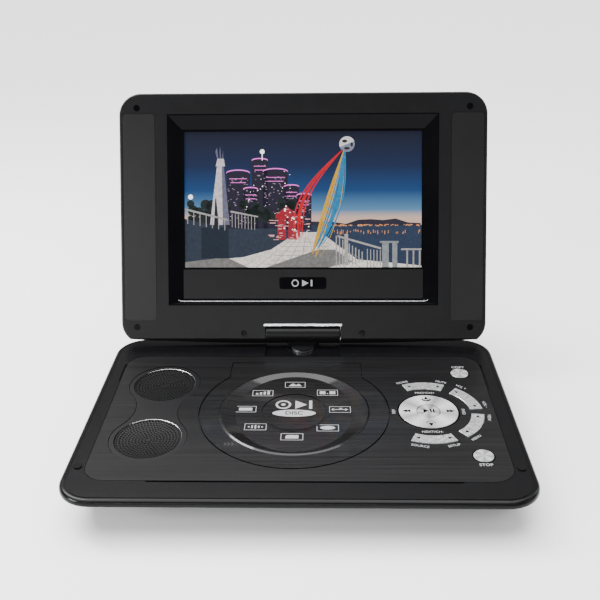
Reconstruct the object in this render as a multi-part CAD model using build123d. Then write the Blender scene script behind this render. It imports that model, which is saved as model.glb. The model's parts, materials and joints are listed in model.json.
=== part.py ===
"""Portable disc player: a wedge-nosed base with disc well and keys, and a display lid on a swivel-and-tilt hinge.

Millimetres. Origin: centre of the base's plan outline, on the table. +X right, +Y to the hinge, +Z up.
"""
from math import atan2, cos, degrees, pi, radians, sin, sqrt
import os

from build123d import *

# ---- driving dimensions ----
BASE_W, BASE_D, BASE_R = 300.0, 208.0, 23.0  # plan outline of the base and its corner radius
DECK_Z = 28.0  # top of the deck above the table
SEAM_Z = 21.5  # parting plane of the two base casings
DECK_T = 2.0  # upper case top wall
PLATE_T = 1.0  # brushed plate let into the deck
FLOOR_Z, FLOOR_T = 2.0, 2.0  # underside of the lower case, and its thickness
GAP = 0.35  # seam between trim pieces

PLATE_W, PLATE_Y0, PLATE_Y1, PLATE_R = 274.0, -83.5, 74.0, 15.0

DISC_X, DISC_Y = -4.5, -3.4  # disc axis
DOOR_R, DOOR_GAP = 66.7, 1.0
DOOR_TAB, DOOR_REAR = 49.2, 63.2  # half width and rear edge of the squared-off back of the door
DOOR_T, DOOR_HINGE_Z, DOOR_AXLE_Y = 1.6, 27.2, DOOR_REAR - 0.5
DISH_R, DISH_LIP, DISH_DEPTH = 52.4, 0.6, 1.2  # bead round the dish, its height, and depth below the deck
DISH_FLOOR_X, DISH_FLOOR_Y = 41.4, 47.6  # half axes of the dish floor
CENTRE_R = 23.2  # groove and lip round the middle of the door
WELL_FLOOR = 18.0

SPK_X, SPK_YS, SPK_R, GRILLE_R = -102.3, (31.8, -37.5), 26.1, 22.4
SPK_WAIST = 15.0  # half width of the trim between the two speakers

NAV_X, NAV_Y, NAV_R, PLAY_R = 90.2, -4.6, 20.7, 8.0
KEY_TOP, KEY_LOW, KEY_GAP, FLANGE = 28.6, 24.3, 0.4, 0.8
FLANGE_T, RING_FLANGE_T = 1.0, 0.6
ARC_IN, ARC_OUT, ARC_HALF = 29.6, 38.6, 24.0
ARC_KEYS = {"key_mode_mute": 90.0, "key_volume": 29.5, "key_menu": -29.5, "key_source_setup": -90.0}
ROUND_KEYS = {"key_copy": (119.7, 47.7), "key_stop": (119.8, -56.5)}
ROUND_R = 6.6
GIMBAL_Z, GIMBAL_T = 23.2, 0.5  # rocking ring under the navigation ring

SWIVEL_Y, SPINDLE_R = 91.0, 4.5
SEAT_X, SEAT_Y0, SEAT_Z = 30.0, 74.3, 26.4  # recess in the deck under the hinge
TILT_Y, TILT_Z, BARREL_R, BARREL_X = 97.7, 35.5, 7.2, 30.2
AXLE_R, BUSH_R = 2.0, 4.5

LEAN = 22.6  # lid leans back this far from upright at rest
LID_W, LID_H, LID_T, LID_R = 293.4, 200.5, 13.0, 17.5
LID_BOW = 2645.0  # radius of the bowed bottom edge
BEZEL_T = 4.0
BACK_SLOPE, BACK_SLOPE_T = 7.8, 6.1  # slope round the back of the lid: width and depth
AXIS_W, AXIS_V = 6.5, 7.5  # tilt axis behind the lid face, and above its bottom edge
HEEL_R = 7.15  # the bottom edge swings over the deck on this radius
NOTCH_X, NOTCH_V = 30.5, 15.2
WIN_X, WIN_V0, WIN_V1 = 108.3, 31.2, 184.0  # opening in the bezel
LCD_X, LCD_V0, LCD_V1 = 95.3, 61.7, 170.5  # visible picture
WELL_X, WELL_V0, WELL_V1, WELL_W = 97.0, 34.4, 172.3, 3.6  # flat floor of the window frame
SIDE_X0, SIDE_X1, SIDE_V0, SIDE_V1 = 118.0, 144.2, 18.7, 184.5
LID_SCREWS = [(s * x, v) for s in (-1, 1) for x, v in ((132.5, 189.0), (134.0, 13.6), (47.5, 8.6))]

TINY = 0.05
os.makedirs("parts", exist_ok=True)


# ---- helpers ----
def block(x0, x1, y0, y1, z0, z1):
    """Axis-aligned box between two corners."""
    return Pos((x0 + x1) / 2, (y0 + y1) / 2, (z0 + z1) / 2) * Box(x1 - x0, y1 - y0, z1 - z0)


def post(x, y, z0, z1, r):
    """Upright cylinder."""
    return Pos(x, y, (z0 + z1) / 2) * Cylinder(r, z1 - z0)


def rod_x(x0, x1, y, z, r):
    """Cylinder along X."""
    return Pos((x0 + x1) / 2, y, z) * Rot(0, 90, 0) * Cylinder(r, x1 - x0)


def rod_y(x, y0, y1, z, r):
    """Cylinder along Y."""
    return Pos(x, (y0 + y1) / 2, z) * Rot(90, 0, 0) * Cylinder(r, y1 - y0)


def slab(sketch, z0, z1):
    """Prism on a plan sketch."""
    return extrude(Pos(0, 0, z0) * sketch, amount=z1 - z0)


def plan_rect(x0, x1, y0, y1, r):
    return Pos((x0 + x1) / 2, (y0 + y1) / 2) * RectangleRounded(x1 - x0, y1 - y0, r)


def save(name, *solids):
    shape = solids[0] if len(solids) == 1 else Compound(children=list(solids))
    shape.label = name
    export_step(shape, f"parts/{name}.step")


def wire(points, radii, r):
    """Round wire along straight runs joined by tangent arcs."""
    path = FilletPolyline(*points, radius=radii)
    start = Plane(origin=path @ 0, z_dir=path % 0)
    return sweep(start * Circle(r), path=path)


# ---- plan outlines ----
def door_outline(grow):
    """Round door with a squared-off back, grown by a margin."""
    disc = Pos(DISC_X, DISC_Y) * Circle(DOOR_R + grow)
    tab = Pos(DISC_X, (DISC_Y + DOOR_REAR + grow) / 2) * Rectangle(
        2 * (DOOR_TAB + grow), DOOR_REAR + grow - DISC_Y
    )
    return disc + tab


def speaker_outline(grow):
    """Two circles joined by a waist with tangent hollow sides."""
    half = (SPK_YS[0] - SPK_YS[1]) / 2
    mid = (SPK_YS[0] + SPK_YS[1]) / 2
    side = (SPK_R**2 - half**2 - SPK_WAIST**2) / (2 * (SPK_WAIST - SPK_R))
    share = SPK_R / (side + SPK_R)  # where the circles touch the hollow sides
    touch_x, touch_y = (SPK_WAIST + side) * share, half * (1 - share)
    neck = Rectangle(2 * touch_x, 2 * touch_y)
    for s in (-1, 1):
        neck -= Pos(s * (SPK_WAIST + side), 0) * Circle(side)
    shape = Pos(SPK_X, mid) * neck
    for y in SPK_YS:
        shape += Pos(SPK_X, y) * Circle(SPK_R)
    return offset(shape, amount=grow) if grow else shape


def arc_outline(centre_deg, grow):
    """Key-shaped piece of the ring round the navigation disc."""
    inner, outer = ARC_IN - grow, ARC_OUT + grow
    extra = degrees(grow / ((ARC_IN + ARC_OUT) / 2))
    reach = ARC_OUT * 2
    a, b = (radians(centre_deg + s * (ARC_HALF + extra)) for s in (-1, 1))
    wedge = make_face(
        Polyline((0, 0), (reach * cos(a), reach * sin(a)), (reach * cos(b), reach * sin(b)), close=True)
    )
    return Pos(NAV_X, NAV_Y) * ((Circle(outer) - Circle(inner)) & wedge)


def key_outlines(grow):
    shapes = [Pos(NAV_X, NAV_Y) * Circle(NAV_R + grow)]
    shapes += [arc_outline(a, grow) for a in ARC_KEYS.values()]
    shapes += [Pos(x, y) * Circle(ROUND_R + grow) for x, y in ROUND_KEYS.values()]
    return shapes


# ---- base casings ----
BOTTOM_X, BOTTOM_Y0, BOTTOM_Y1 = 141.0, -73.0, 99.0
TOP_X, TOP_Y0, TOP_Y1 = 146.6, -100.6, 100.6
WALL, NOSE_WALL = 2.0, 4.0
LIP_X, LIP_Y, LIP_H = 145.0, 99.0, 2.0  # locating lip that stands into the upper case
BUMPERS = [(-141.5, -69.4), (141.5, -69.4)]
PLATE_SLOTS = [(-95, 103, -84.8, -83.4), (-138.2, -136.9, 36, 61), (136.9, 138.2, 26, 60)]
BASE_SCREWS = [(s * x, y) for s in (-1, 1) for x, y in ((135.5, -62.0), (128.0, 87.0), (60.0, 90.0))]
FEET = [(s * 122.0, y) for s in (-1, 1) for y in (-54.0, 82.0)] + [(0.0, 0.0)]
GROMMETS = [(DISC_X + s * 31.0, DISC_Y + y) for s in (-1, 1) for y in (-54.0, 18.0)]
JACK_Z = 12.0
HEADPHONE_Y, AV_Y, DC_Y, USB_Y, CARD_Y, POWER_Y = -40.0, -24.0, -6.0, 14.0, 38.0, 66.0
HEADPHONE_R, DC_R = 1.8, 2.75
SIDE_FACE = 140.6  # flat face of the socket bay in the right-hand wall
BAY_Y0, BAY_Y1, BAY_Z0, BAY_Z1 = -50.0, 78.0, 6.0, 18.0


def lower_case():
    outer = loft([
        Pos(0, (BOTTOM_Y0 + BOTTOM_Y1) / 2, FLOOR_Z) * RectangleRounded(2 * BOTTOM_X, BOTTOM_Y1 - BOTTOM_Y0, 14),
        Pos(0, (TOP_Y0 + TOP_Y1) / 2, SEAM_Z) * RectangleRounded(2 * TOP_X, TOP_Y1 - TOP_Y0, 21),
    ])
    inner = loft([
        Pos(0, (BOTTOM_Y0 + NOSE_WALL + BOTTOM_Y1 - WALL) / 2, FLOOR_Z + FLOOR_T)
        * RectangleRounded(2 * (BOTTOM_X - WALL), BOTTOM_Y1 - WALL - BOTTOM_Y0 - NOSE_WALL, 12),
        Pos(0, (TOP_Y0 + NOSE_WALL + TOP_Y1 - WALL) / 2, SEAM_Z + 0.01)
        * RectangleRounded(2 * (TOP_X - WALL), TOP_Y1 - WALL - TOP_Y0 - NOSE_WALL, 18),
    ])
    body = outer - inner
    lip = plan_rect(-LIP_X, LIP_X, -LIP_Y, LIP_Y, 18.0) - plan_rect(
        -LIP_X + WALL, LIP_X - WALL, -LIP_Y + WALL, LIP_Y - WALL, 16.0
    )
    lip -= Pos(0, LIP_Y) * Rectangle(24, 10)  # room for the swivel housing
    body += slab(lip, SEAM_Z - 0.9, SEAM_Z + LIP_H)
    # socket bay: a flat face let into the sloping right-hand wall
    bay = block(SIDE_FACE, 160, BAY_Y0, BAY_Y1, BAY_Z0, BAY_Z1)
    bay_back = block(SIDE_FACE - WALL, SIDE_FACE, BAY_Y0 - 2, BAY_Y1 + 2, FLOOR_Z + 1, BAY_Z1 + 2)
    bay_sides = block(SIDE_FACE - WALL, 146, BAY_Y0 - 2, BAY_Y1 + 2, BAY_Z0 - 2, BAY_Z1 + 2)
    body += (bay_back + bay_sides) & outer
    body -= bay
    x0, x1 = SIDE_FACE - WALL - 1, SIDE_FACE + 1
    body -= rod_x(x0, x1, HEADPHONE_Y, JACK_Z, 3.05)
    body -= rod_x(x0, x1, AV_Y, JACK_Z, 3.05)
    body -= rod_x(x0, x1, DC_Y, JACK_Z, 4.25)
    body -= block(x0, x1, USB_Y - 7.05, USB_Y + 7.05, JACK_Z - 3.55, JACK_Z + 3.55)
    body -= block(x0, x1, CARD_Y - 13.0, CARD_Y + 13.0, JACK_Z - 1.6, JACK_Z + 1.6)
    body -= block(x0, x1, POWER_Y - 4.6, POWER_Y + 4.6, JACK_Z - 1.7, JACK_Z + 1.7)
    for x, y in BASE_SCREWS:
        body += post(x, y, FLOOR_Z + FLOOR_T - 0.2, 12.0, 3.6)
        body -= post(x, y, FLOOR_Z - 1, 20.0, 1.55)
        body -= post(x, y, FLOOR_Z - 1, 6.0, 2.8)
    for x, y in GROMMETS:
        body += post(x, y, FLOOR_Z + FLOOR_T - 0.2, 17.4, 1.9)
    for x, y in FEET:
        body -= post(x, y, FLOOR_Z - 1, FLOOR_Z + 0.8, 6.0)
    for k in range(12):  # cooling slots under the main board
        body -= block(72.0 + 4.5 * k, 74.0 + 4.5 * k, -30.0, 20.0, 0.0, 5.0)
    return body


def upper_case():
    half_d = BASE_D / 2
    body = slab(plan_rect(-BASE_W / 2, BASE_W / 2, -half_d, half_d, BASE_R), SEAM_Z, DECK_Z)
    body = fillet(body.faces().sort_by(Axis.Z)[-1].outer_wire().edges(), 3.0)
    bottom = body.faces().sort_by(Axis.Z)[0]
    body = chamfer(bottom.outer_wire().edges(), length=3.2, length2=2.5, reference=bottom)
    under = DECK_Z - DECK_T
    hollow = plan_rect(-LIP_X - 0.4, LIP_X + 0.4, -LIP_Y - 0.4, LIP_Y + 0.4, 18.4)
    body -= slab(hollow, SEAM_Z - 1, under)
    body += block(-SEAT_X - 2, SEAT_X + 2, SEAT_Y0 - 2, half_d - 3, 23.6, under + 0.1)
    body += post(0, SWIVEL_Y, 14.0, 24.0, 6.8)
    body -= block(-SEAT_X, SEAT_X, SEAT_Y0, half_d + 1, SEAT_Z, DECK_Z + 1)
    body -= post(0, SWIVEL_Y, 10.0, 30.0, 5.6)
    body -= slab(plan_rect(-PLATE_W / 2, PLATE_W / 2, PLATE_Y0, PLATE_Y1, PLATE_R), DECK_Z - PLATE_T, DECK_Z + 1)
    body -= slab(door_outline(DOOR_GAP), under - 1, DECK_Z + 1)
    for shape in key_outlines(KEY_GAP):
        body -= slab(shape, under - 1, DECK_Z + 1)
    for y in SPK_YS:
        body -= post(SPK_X, y, under - 1, DECK_Z, GRILLE_R + 1.0)
    body -= hinge_pins(0.07)
    for x, y in BASE_SCREWS:
        body += post(x, y, 12.4, under + 0.1, 3.4)
        body -= post(x, y, 12.0, 22.0, 1.2)
    for x, y in BUMPERS:
        body -= post(x, y, DECK_Z - 1.2, DECK_Z + 1, 2.8)
    for x0, x1, y0, y1 in PLATE_SLOTS:
        body -= block(x0, x1, y0, y1, DECK_Z - PLATE_T, DECK_Z + 1)
    rim = [
        plan_rect(-BASE_W / 2 + i, BASE_W / 2 - i, -half_d + i, half_d - i, BASE_R - i) for i in (3.5, 4.1)
    ]
    ring = rim[0] - rim[1] - Pos(0, half_d) * Rectangle(2 * SEAT_X + 8, 12)
    return body - slab(ring, DECK_Z - 0.4, DECK_Z + 1)


def deck_plate():
    plate = slab(
        plan_rect(-PLATE_W / 2 + GAP, PLATE_W / 2 - GAP, PLATE_Y0 + GAP, PLATE_Y1 - GAP, PLATE_R - GAP),
        DECK_Z - PLATE_T, DECK_Z,
    )
    plate -= slab(door_outline(DOOR_GAP), DECK_Z - 2, DECK_Z + 1)
    for shape in key_outlines(KEY_GAP):
        plate -= slab(shape, DECK_Z - 2, DECK_Z + 1)
    plate -= slab(speaker_outline(GAP), DECK_Z - 2, DECK_Z + 1)
    return plate - hinge_pins(0.07)


def speaker_trim():
    trim = slab(speaker_outline(0), DECK_Z - PLATE_T, DECK_Z - 0.3)
    for y in SPK_YS:
        trim -= post(SPK_X, y, DECK_Z - 2, DECK_Z + 1, GRILLE_R)
    inner = [e for e in trim.edges().filter_by(GeomType.CIRCLE)
             if abs(e.radius - GRILLE_R) < 0.01 and e.center().Z > DECK_Z - 0.5]
    return chamfer(inner, 0.5)


def speaker_grille(y):
    return post(SPK_X, y, DECK_Z - DECK_T, DECK_Z - PLATE_T - 0.1, GRILLE_R + 0.9)


def speaker_driver(y):
    """Loudspeaker: basket, magnet and pole cap as one turned piece."""
    basket = post(SPK_X, y, 23.4, 25.4, 22.4) - post(SPK_X, y, 24.4, 26, 20.4)
    cone = Pos(SPK_X, y, 20.4) * Cone(12.0, 20.5, 6.0)
    cone -= Pos(SPK_X, y, 22.0) * Cone(5.0, 19.0, 5.4)
    return basket + cone + post(SPK_X, y, 14.0, 18.0, 11.5)


# ---- disc door and loader ----
def hinge_pins(grow):
    """Two short pins at the back corners of the door."""
    y = DOOR_AXLE_Y
    pins = [
        rod_x(DISC_X + s * (DOOR_TAB - 3.0) - 3.0, DISC_X + s * (DOOR_TAB - 3.0) + 3.0, y, DOOR_HINGE_Z, 0.5 + grow)
        for s in (-1, 1)
    ]
    moved = [Pos(s * 2.6, 0, 0) * pin for s, pin in zip((-1, 1), pins)]
    return Compound(children=moved) if not grow else moved[0] + moved[1]


def disc_door():
    low = DECK_Z - DOOR_T
    door = slab(door_outline(0), low, DECK_Z)
    knuckle = rod_x(DISC_X - DOOR_TAB, DISC_X + DOOR_TAB, DOOR_AXLE_Y, DOOR_HINGE_Z, DOOR_T / 2)
    door += knuckle
    door += post(DISC_X, DISC_Y, low - DISH_DEPTH, low + 0.1, DISH_R - 2.0)
    door += Pos(DISC_X, DISC_Y, DECK_Z + DISH_LIP / 2) * Cone(DISH_R + 1.0, DISH_R - 0.2, DISH_LIP)
    top = Pos(DISC_X, DISC_Y, DECK_Z + DISH_LIP) * Circle(DISH_R - 1.0)
    floor = Pos(DISC_X, DISC_Y, DECK_Z - DISH_DEPTH) * Ellipse(DISH_FLOOR_X, DISH_FLOOR_Y)
    door -= loft([top, floor])
    under = DECK_Z - DISH_DEPTH - 1.3
    door -= post(DISC_X, DISC_Y, under - 2, under, DISH_FLOOR_X - 4.0)
    lip = Circle(CENTRE_R + 1.1) - Circle(CENTRE_R)
    groove = Circle(CENTRE_R) - Circle(CENTRE_R - 1.0)
    here = Pos(DISC_X, DISC_Y)
    door += slab(here * lip, DECK_Z - DISH_DEPTH - 0.1, DECK_Z - DISH_DEPTH + 0.25)
    door -= slab(here * groove, DECK_Z - DISH_DEPTH - 0.4, DECK_Z)
    tab_y = DISC_Y - DOOR_R + 3.2
    door += block(DISC_X - 4, DISC_X + 4, tab_y, tab_y + 1.4, 21.6, low + 0.1)  # latch tongue
    for pin in hinge_pins(0).children:
        door -= pin
    return door


def disc_well():
    rim = door_outline(-0.3) - door_outline(-2.3)
    wall = slab(rim, WELL_FLOOR, DECK_Z - DOOR_T - 0.9)
    flange = slab(door_outline(4.0) - door_outline(-0.4), 24.0, 25.4)
    well = wall + slab(door_outline(-2.0), WELL_FLOOR, WELL_FLOOR + 1.5) + flange
    well -= post(DISC_X, DISC_Y, WELL_FLOOR - 1, WELL_FLOOR + 3, 17.0)
    well -= block(DISC_X - 12, DISC_X + 12, DISC_Y - 62.5, DISC_Y - 14, WELL_FLOOR - 1, WELL_FLOOR + 3)
    return well - block(DISC_X - 6, DISC_X + 6, DISC_Y - 72, DISC_Y - 62.8, 20.8, 27)


RAIL_X, RAIL_Z = 17.0, 12.4
SCREW_X = 24.5
PICKUP_Y = -25.0
FRAME_Z0, FRAME_Z1 = 15.0, 16.4
MOTOR_R = 11.5


def traverse_frame():
    frame = slab(plan_rect(DISC_X - 38, DISC_X + 38, DISC_Y - 60, DISC_Y + 24, 5), FRAME_Z0, FRAME_Z1)
    frame -= block(DISC_X - 13.5, DISC_X + 13.5, DISC_Y - 57, DISC_Y - 13, 14, 18)
    frame -= post(DISC_X, DISC_Y, 14, 18, MOTOR_R + TINY)
    frame -= block(DISC_X + 18.8, DISC_X + 30.2, DISC_Y - 5.2, DISC_Y + 6.2, 14, 18)
    for x, y in GROMMETS:
        frame -= post(x, y, 14, 18, 4.0)
    for s in (-1, 1):  # rail blocks hang under the frame
        for y in (DISC_Y - 59, DISC_Y - 12):
            bracket = block(DISC_X + s * RAIL_X - 2.6, DISC_X + s * RAIL_X + 2.6, y, y + 3, RAIL_Z - 2.4, FRAME_Z0 + 0.1)
            frame += bracket - rod_y(DISC_X + s * RAIL_X, y - 1, y + 4, RAIL_Z, 1.2)
    x, y = DISC_X + SCREW_X, DISC_Y - 59.5
    bearing = block(x - 2.4, x + 2.4, y, y + 2.0, RAIL_Z - 2.2, FRAME_Z0 + 0.1)
    return frame + (bearing - rod_y(x, y - 1, y + 3, RAIL_Z, 1.15))


def guide_rails():
    return [rod_y(DISC_X + s * RAIL_X, DISC_Y - 59, DISC_Y - 9, RAIL_Z, 1.2) for s in (-1, 1)]


def grommets():
    rings = []
    for x, y in GROMMETS:
        ring = post(x, y, 13.6, 17.6, 5.2) - post(x, y, 13, 18, 1.95)
        ring -= post(x, y, FRAME_Z0, FRAME_Z1, 6) - post(x, y, FRAME_Z0 - 1, FRAME_Z1 + 1, 4.0)
        rings.append(ring)
    return rings


def spindle_motor():
    return post(DISC_X, DISC_Y, 12.0, 17.4, MOTOR_R) - post(DISC_X, DISC_Y, 11, 18, 1.05)


def disc_hub():
    hub = post(DISC_X, DISC_Y, 18.6, 20.6, 14.5) + post(DISC_X, DISC_Y, 20.5, 22.4, 7.4)
    hub += Pos(DISC_X, DISC_Y, 22.9) * Cone(7.4, 6.2, 1.0)
    hub = hub + post(DISC_X, DISC_Y, 12.6, 18.7, 1.0)
    for k in range(3):  # slots of the three gripping fingers
        a = 2 * pi * k / 3
        x, y = DISC_X + 7.0 * cos(a), DISC_Y + 7.0 * sin(a)
        hub -= Pos(x, y, 22.2) * Rot(0, 0, degrees(a)) * Box(2.4, 3.2, 3.0)
    return hub


def laser_sled():
    y = DISC_Y + PICKUP_Y
    sled = block(DISC_X - 20.5, DISC_X + 20.5, y - 8, y + 8, 10.2, 14.6)
    for s in (-1, 1):
        sled -= rod_y(DISC_X + s * RAIL_X, y - 9, y + 9, RAIL_Z, 1.25)
    sled += block(DISC_X - 8, DISC_X + 8, y - 6, y + 6, 14.5, 17.0)
    sled += post(DISC_X, y, 16.9, 19.0, 4.0)
    nut = block(DISC_X + 20.4, DISC_X + 27.0, y - 3, y + 3, 10.2, 14.6)
    sled += nut - rod_y(DISC_X + SCREW_X, y - 9, y + 9, RAIL_Z, 1.57)
    return sled - post(DISC_X, y, 17.6, 20.0, 2.0)


def laser_lens():
    y = DISC_Y + PICKUP_Y
    return post(DISC_X, y, 17.6, 19.0, 2.0) + Pos(DISC_X, y, 19.2) * Cone(1.8, 1.0, 0.5)


def lead_screw():
    screw = rod_y(DISC_X + SCREW_X, DISC_Y - 59.3, DISC_Y - 1.2, RAIL_Z, 1.1)
    for k in range(20):
        y = DISC_Y - 56 + 2.5 * k
        screw += rod_y(DISC_X + SCREW_X, y, y + 1.0, RAIL_Z, 1.5)
    return screw


def sled_motor():
    can = rod_y(DISC_X + SCREW_X, DISC_Y - 5.0, DISC_Y + 6.0, RAIL_Z, 5.0)
    return can - rod_y(DISC_X + SCREW_X, DISC_Y - 6.0, DISC_Y - 1.0, RAIL_Z, 1.15)


# ---- keys ----
def key(outline, flange_outline, flange_t=FLANGE_T):
    body = slab(outline, KEY_LOW, KEY_TOP)
    crown = body.faces().sort_by(Axis.Z)[-1]
    body = chamfer(crown.outer_wire().edges(), 0.35)
    return body + slab(flange_outline, KEY_LOW, KEY_LOW + flange_t)


def arc_key(centre_deg):
    return key(arc_outline(centre_deg, 0), arc_outline(centre_deg, FLANGE))


def round_key(x, y):
    return key(Pos(x, y) * Circle(ROUND_R), Pos(x, y) * Circle(ROUND_R + FLANGE))


def nav_ring():
    here = Pos(NAV_X, NAV_Y)
    ring = key(here * Circle(NAV_R), here * Circle(NAV_R + FLANGE), RING_FLANGE_T)
    return ring - post(NAV_X, NAV_Y, KEY_LOW - 1, KEY_TOP + 1, PLAY_R + 0.5)


def nav_gimbal():
    ring = post(NAV_X, NAV_Y, GIMBAL_Z, GIMBAL_Z + GIMBAL_T, 13.0)
    return ring - post(NAV_X, NAV_Y, GIMBAL_Z - 1, GIMBAL_Z + 2, 9.5)


def play_key():
    body = post(NAV_X, NAV_Y, KEY_LOW - 0.5, KEY_TOP + 0.1, PLAY_R)
    return chamfer(body.faces().sort_by(Axis.Z)[-1].edges(), 0.5)


BOARD_Z = 20.3
BOARD = (66.0, 131.5, -66.0, 58.0)


def key_board():
    return slab(plan_rect(*BOARD, 4), BOARD_Z, BOARD_Z + 1.6)


def key_membrane():
    x0, x1, y0, y1 = BOARD
    pad = slab(plan_rect(x0 + 1, x1 - 1, y0 + 1, y1 - 1, 4), BOARD_Z + 1.6, BOARD_Z + 2.3)
    for angle in ARC_KEYS.values():  # two domes under each two-way key
        for side in (-14, 14):
            a = radians(angle + side)
            r = (ARC_IN + ARC_OUT) / 2
            pad += post(NAV_X + r * cos(a), NAV_Y + r * sin(a), BOARD_Z + 2.2, BOARD_Z + 2.6, 2.2)
    for x, y in [*ROUND_KEYS.values(), (NAV_X, NAV_Y)]:
        pad += post(x, y, BOARD_Z + 2.2, BOARD_Z + 2.7, 3.0)
    return pad


# ---- boards, battery, sockets ----
MAIN_Z = 7.0


def main_board():
    board = slab(plan_rect(64.5, 137.0, -56.0, 74.0, 3), MAIN_Z, MAIN_Z + 1.6)
    return board


def board_chips():
    z = MAIN_Z + 1.6
    places = [(88, -8, 18, 18, 1.6), (88, 26, 14, 10, 1.2), (108, -36, 10, 6, 1.2), (76, -38, 8, 12, 3.0),
              (104, 52, 12, 8, 1.5), (80, 58, 12, 6, 4.5)]
    return [block(x - w / 2, x + w / 2, y - d / 2, y + d / 2, z, z + h) for x, y, w, d, h in places]


def battery_pack():
    pack = slab(plan_rect(-131, -76, -52, 60, 4), 4.2, 12.6)
    return fillet(pack.edges().filter_by(Axis.Z, reverse=True), 1.2)


def round_jack(y, bore_r, barrel_r):
    """Panel socket: square body on the board with a round mouth in the side wall."""
    face = SIDE_FACE + 0.3
    body = block(124.5, SIDE_FACE - WALL - 0.1, y - 4.2, y + 4.2, MAIN_Z + 1.6, JACK_Z + 4.2)
    body += rod_x(SIDE_FACE - WALL - 0.5, face, y, JACK_Z, barrel_r)
    return body - rod_x(face - 14.0, face + 1, y, JACK_Z, bore_r)


def dc_jack():
    face = SIDE_FACE + 0.3
    body = block(124.5, SIDE_FACE - WALL - 0.1, DC_Y - 4.8, DC_Y + 4.8, MAIN_Z + 1.6, JACK_Z + 4.8)
    body += rod_x(SIDE_FACE - WALL - 0.5, face, DC_Y, JACK_Z, 4.2)
    body -= rod_x(face - 10.0, face + 1, DC_Y, JACK_Z, DC_R)
    return body + rod_x(face - 10.5, face - 1.5, DC_Y, JACK_Z, 0.65)


def usb_socket():
    face = SIDE_FACE + 0.2
    body = block(124.0, face, USB_Y - 7.0, USB_Y + 7.0, JACK_Z - 3.4, JACK_Z + 3.5)
    body -= block(126.0, face + 1, USB_Y - 6.2, USB_Y + 6.2, JACK_Z - 2.4, JACK_Z + 2.8)
    return body


def usb_tongue():
    return block(126.0, SIDE_FACE - 0.8, USB_Y - 5.6, USB_Y + 5.6, JACK_Z + 0.6, JACK_Z + 2.4)


def card_slot():
    face = SIDE_FACE - WALL - 0.1
    body = block(112.0, face, CARD_Y - 14.0, CARD_Y + 14.0, MAIN_Z + 1.6, JACK_Z + 2.8)
    return body - block(114.0, face + 1, CARD_Y - 12.2, CARD_Y + 12.2, JACK_Z - 1.3, JACK_Z + 1.3)


def power_switch_body():
    face = SIDE_FACE - WALL - 0.1
    body = block(130.0, face, POWER_Y - 7.0, POWER_Y + 7.0, MAIN_Z + 1.6, JACK_Z + 3.4)
    return body - block(134.0, face + 1, POWER_Y - 4.6, POWER_Y + 4.6, JACK_Z - 1.7, JACK_Z + 1.7)


def power_knob():
    """Slider shown at its OFF end; it travels 3 mm towards the hinge."""
    y0, y1 = POWER_Y - 4.4, POWER_Y + 1.4
    knob = block(134.4, SIDE_FACE + 0.8, y0, y1, JACK_Z - 1.6, JACK_Z + 1.6)
    for k in range(3):
        knob -= block(SIDE_FACE + 0.4, SIDE_FACE + 1.0, y0 + 1.2 + 1.5 * k, y0 + 1.7 + 1.5 * k, 0, 30)
    return knob


def door_latch():
    """Sprung slider that nips the door's tongue."""
    tip = DISC_Y - DOOR_R + 3.2
    latch = block(DISC_X - 5, DISC_X + 5, tip - 9.0, tip - 1.5, 22.0, 23.6)
    return latch + block(DISC_X - 3, DISC_X + 3, tip - 1.6, tip - 0.15, 22.0, 23.2)


def latch_spring():
    tip = DISC_Y - DOOR_R + 3.2
    coils = rod_y(DISC_X, tip - 15.0, tip - 9.2, 22.8, 1.6)
    for k in range(4):
        y = tip - 14.4 + 1.4 * k
        coils -= rod_y(DISC_X, y, y + 0.7, 22.8, 2.0) - rod_y(DISC_X, y, y + 0.7, 22.8, 1.1)
    return coils


# ---- swivel and tilt hinge ----
def swivel_bush():
    return post(0, SWIVEL_Y, 14.0, SEAT_Z - 0.1, 5.6) - post(0, SWIVEL_Y, 13, 27, SPINDLE_R + TINY)


def swivel_spindle():
    spindle = post(0, SWIVEL_Y, 9.0, 26.7, SPINDLE_R) + post(0, SWIVEL_Y, SEAT_Z + 0.2, DECK_Z + 0.2, 9.0)
    return spindle - post(0, SWIVEL_Y, 8, 30, 2.6)


def spindle_nut():
    nut = extrude(Pos(0, SWIVEL_Y, 9.4) * RegularPolygon(6.1, 6), amount=3.0)
    return nut - post(0, SWIVEL_Y, 9, 13, SPINDLE_R)


def spring_washers():
    return [
        post(0, SWIVEL_Y, z, z + 0.6, 6.0) - post(0, SWIVEL_Y, z - 1, z + 1, SPINDLE_R)
        for z in (12.5, 13.2)
    ]


def hinge_barrel():
    barrel = rod_x(-BARREL_X, BARREL_X, TILT_Y, TILT_Z, BARREL_R)
    ends = barrel.faces().filter_by(Axis.X)
    barrel = fillet([e for f in ends for e in f.edges()], 0.8)
    foot = block(-13, 13, TILT_Y - 6.0, TILT_Y + 5.0, DECK_Z + 0.2, TILT_Z)
    foot = fillet(foot.edges().filter_by(Axis.Z), 2.5)
    barrel += foot + post(0, SWIVEL_Y, DECK_Z + 0.2, DECK_Z + 0.7, 9.0)
    return barrel - rod_x(-BARREL_X - 1, BARREL_X + 1, TILT_Y, TILT_Z, BUSH_R)


def tilt_bush(side):
    x0, x1 = sorted((side * 19.0, side * BARREL_X))
    return rod_x(x0, x1, TILT_Y, TILT_Z, BUSH_R) - rod_x(x0 - 1, x1 + 1, TILT_Y, TILT_Z, AXLE_R + TINY)


# ---- display lid, in its own frame: X across, Y behind the face, Z up the lid ----
LID_PLACE = Pos(0, TILT_Y, TILT_Z) * Rot(-LEAN, 0, 0) * Pos(0, -AXIS_W, -AXIS_V)
FACE_UP = Plane(origin=(0, 0, 0), x_dir=(1, 0, 0), z_dir=(0, -1, 0))  # sketch X across, sketch Y up the lid


def panel(sketch, w0, w1):
    """Prism on a lid-face sketch between two depths behind the face."""
    return Pos(0, w1, 0) * extrude(FACE_UP * sketch, amount=w1 - w0)


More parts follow.
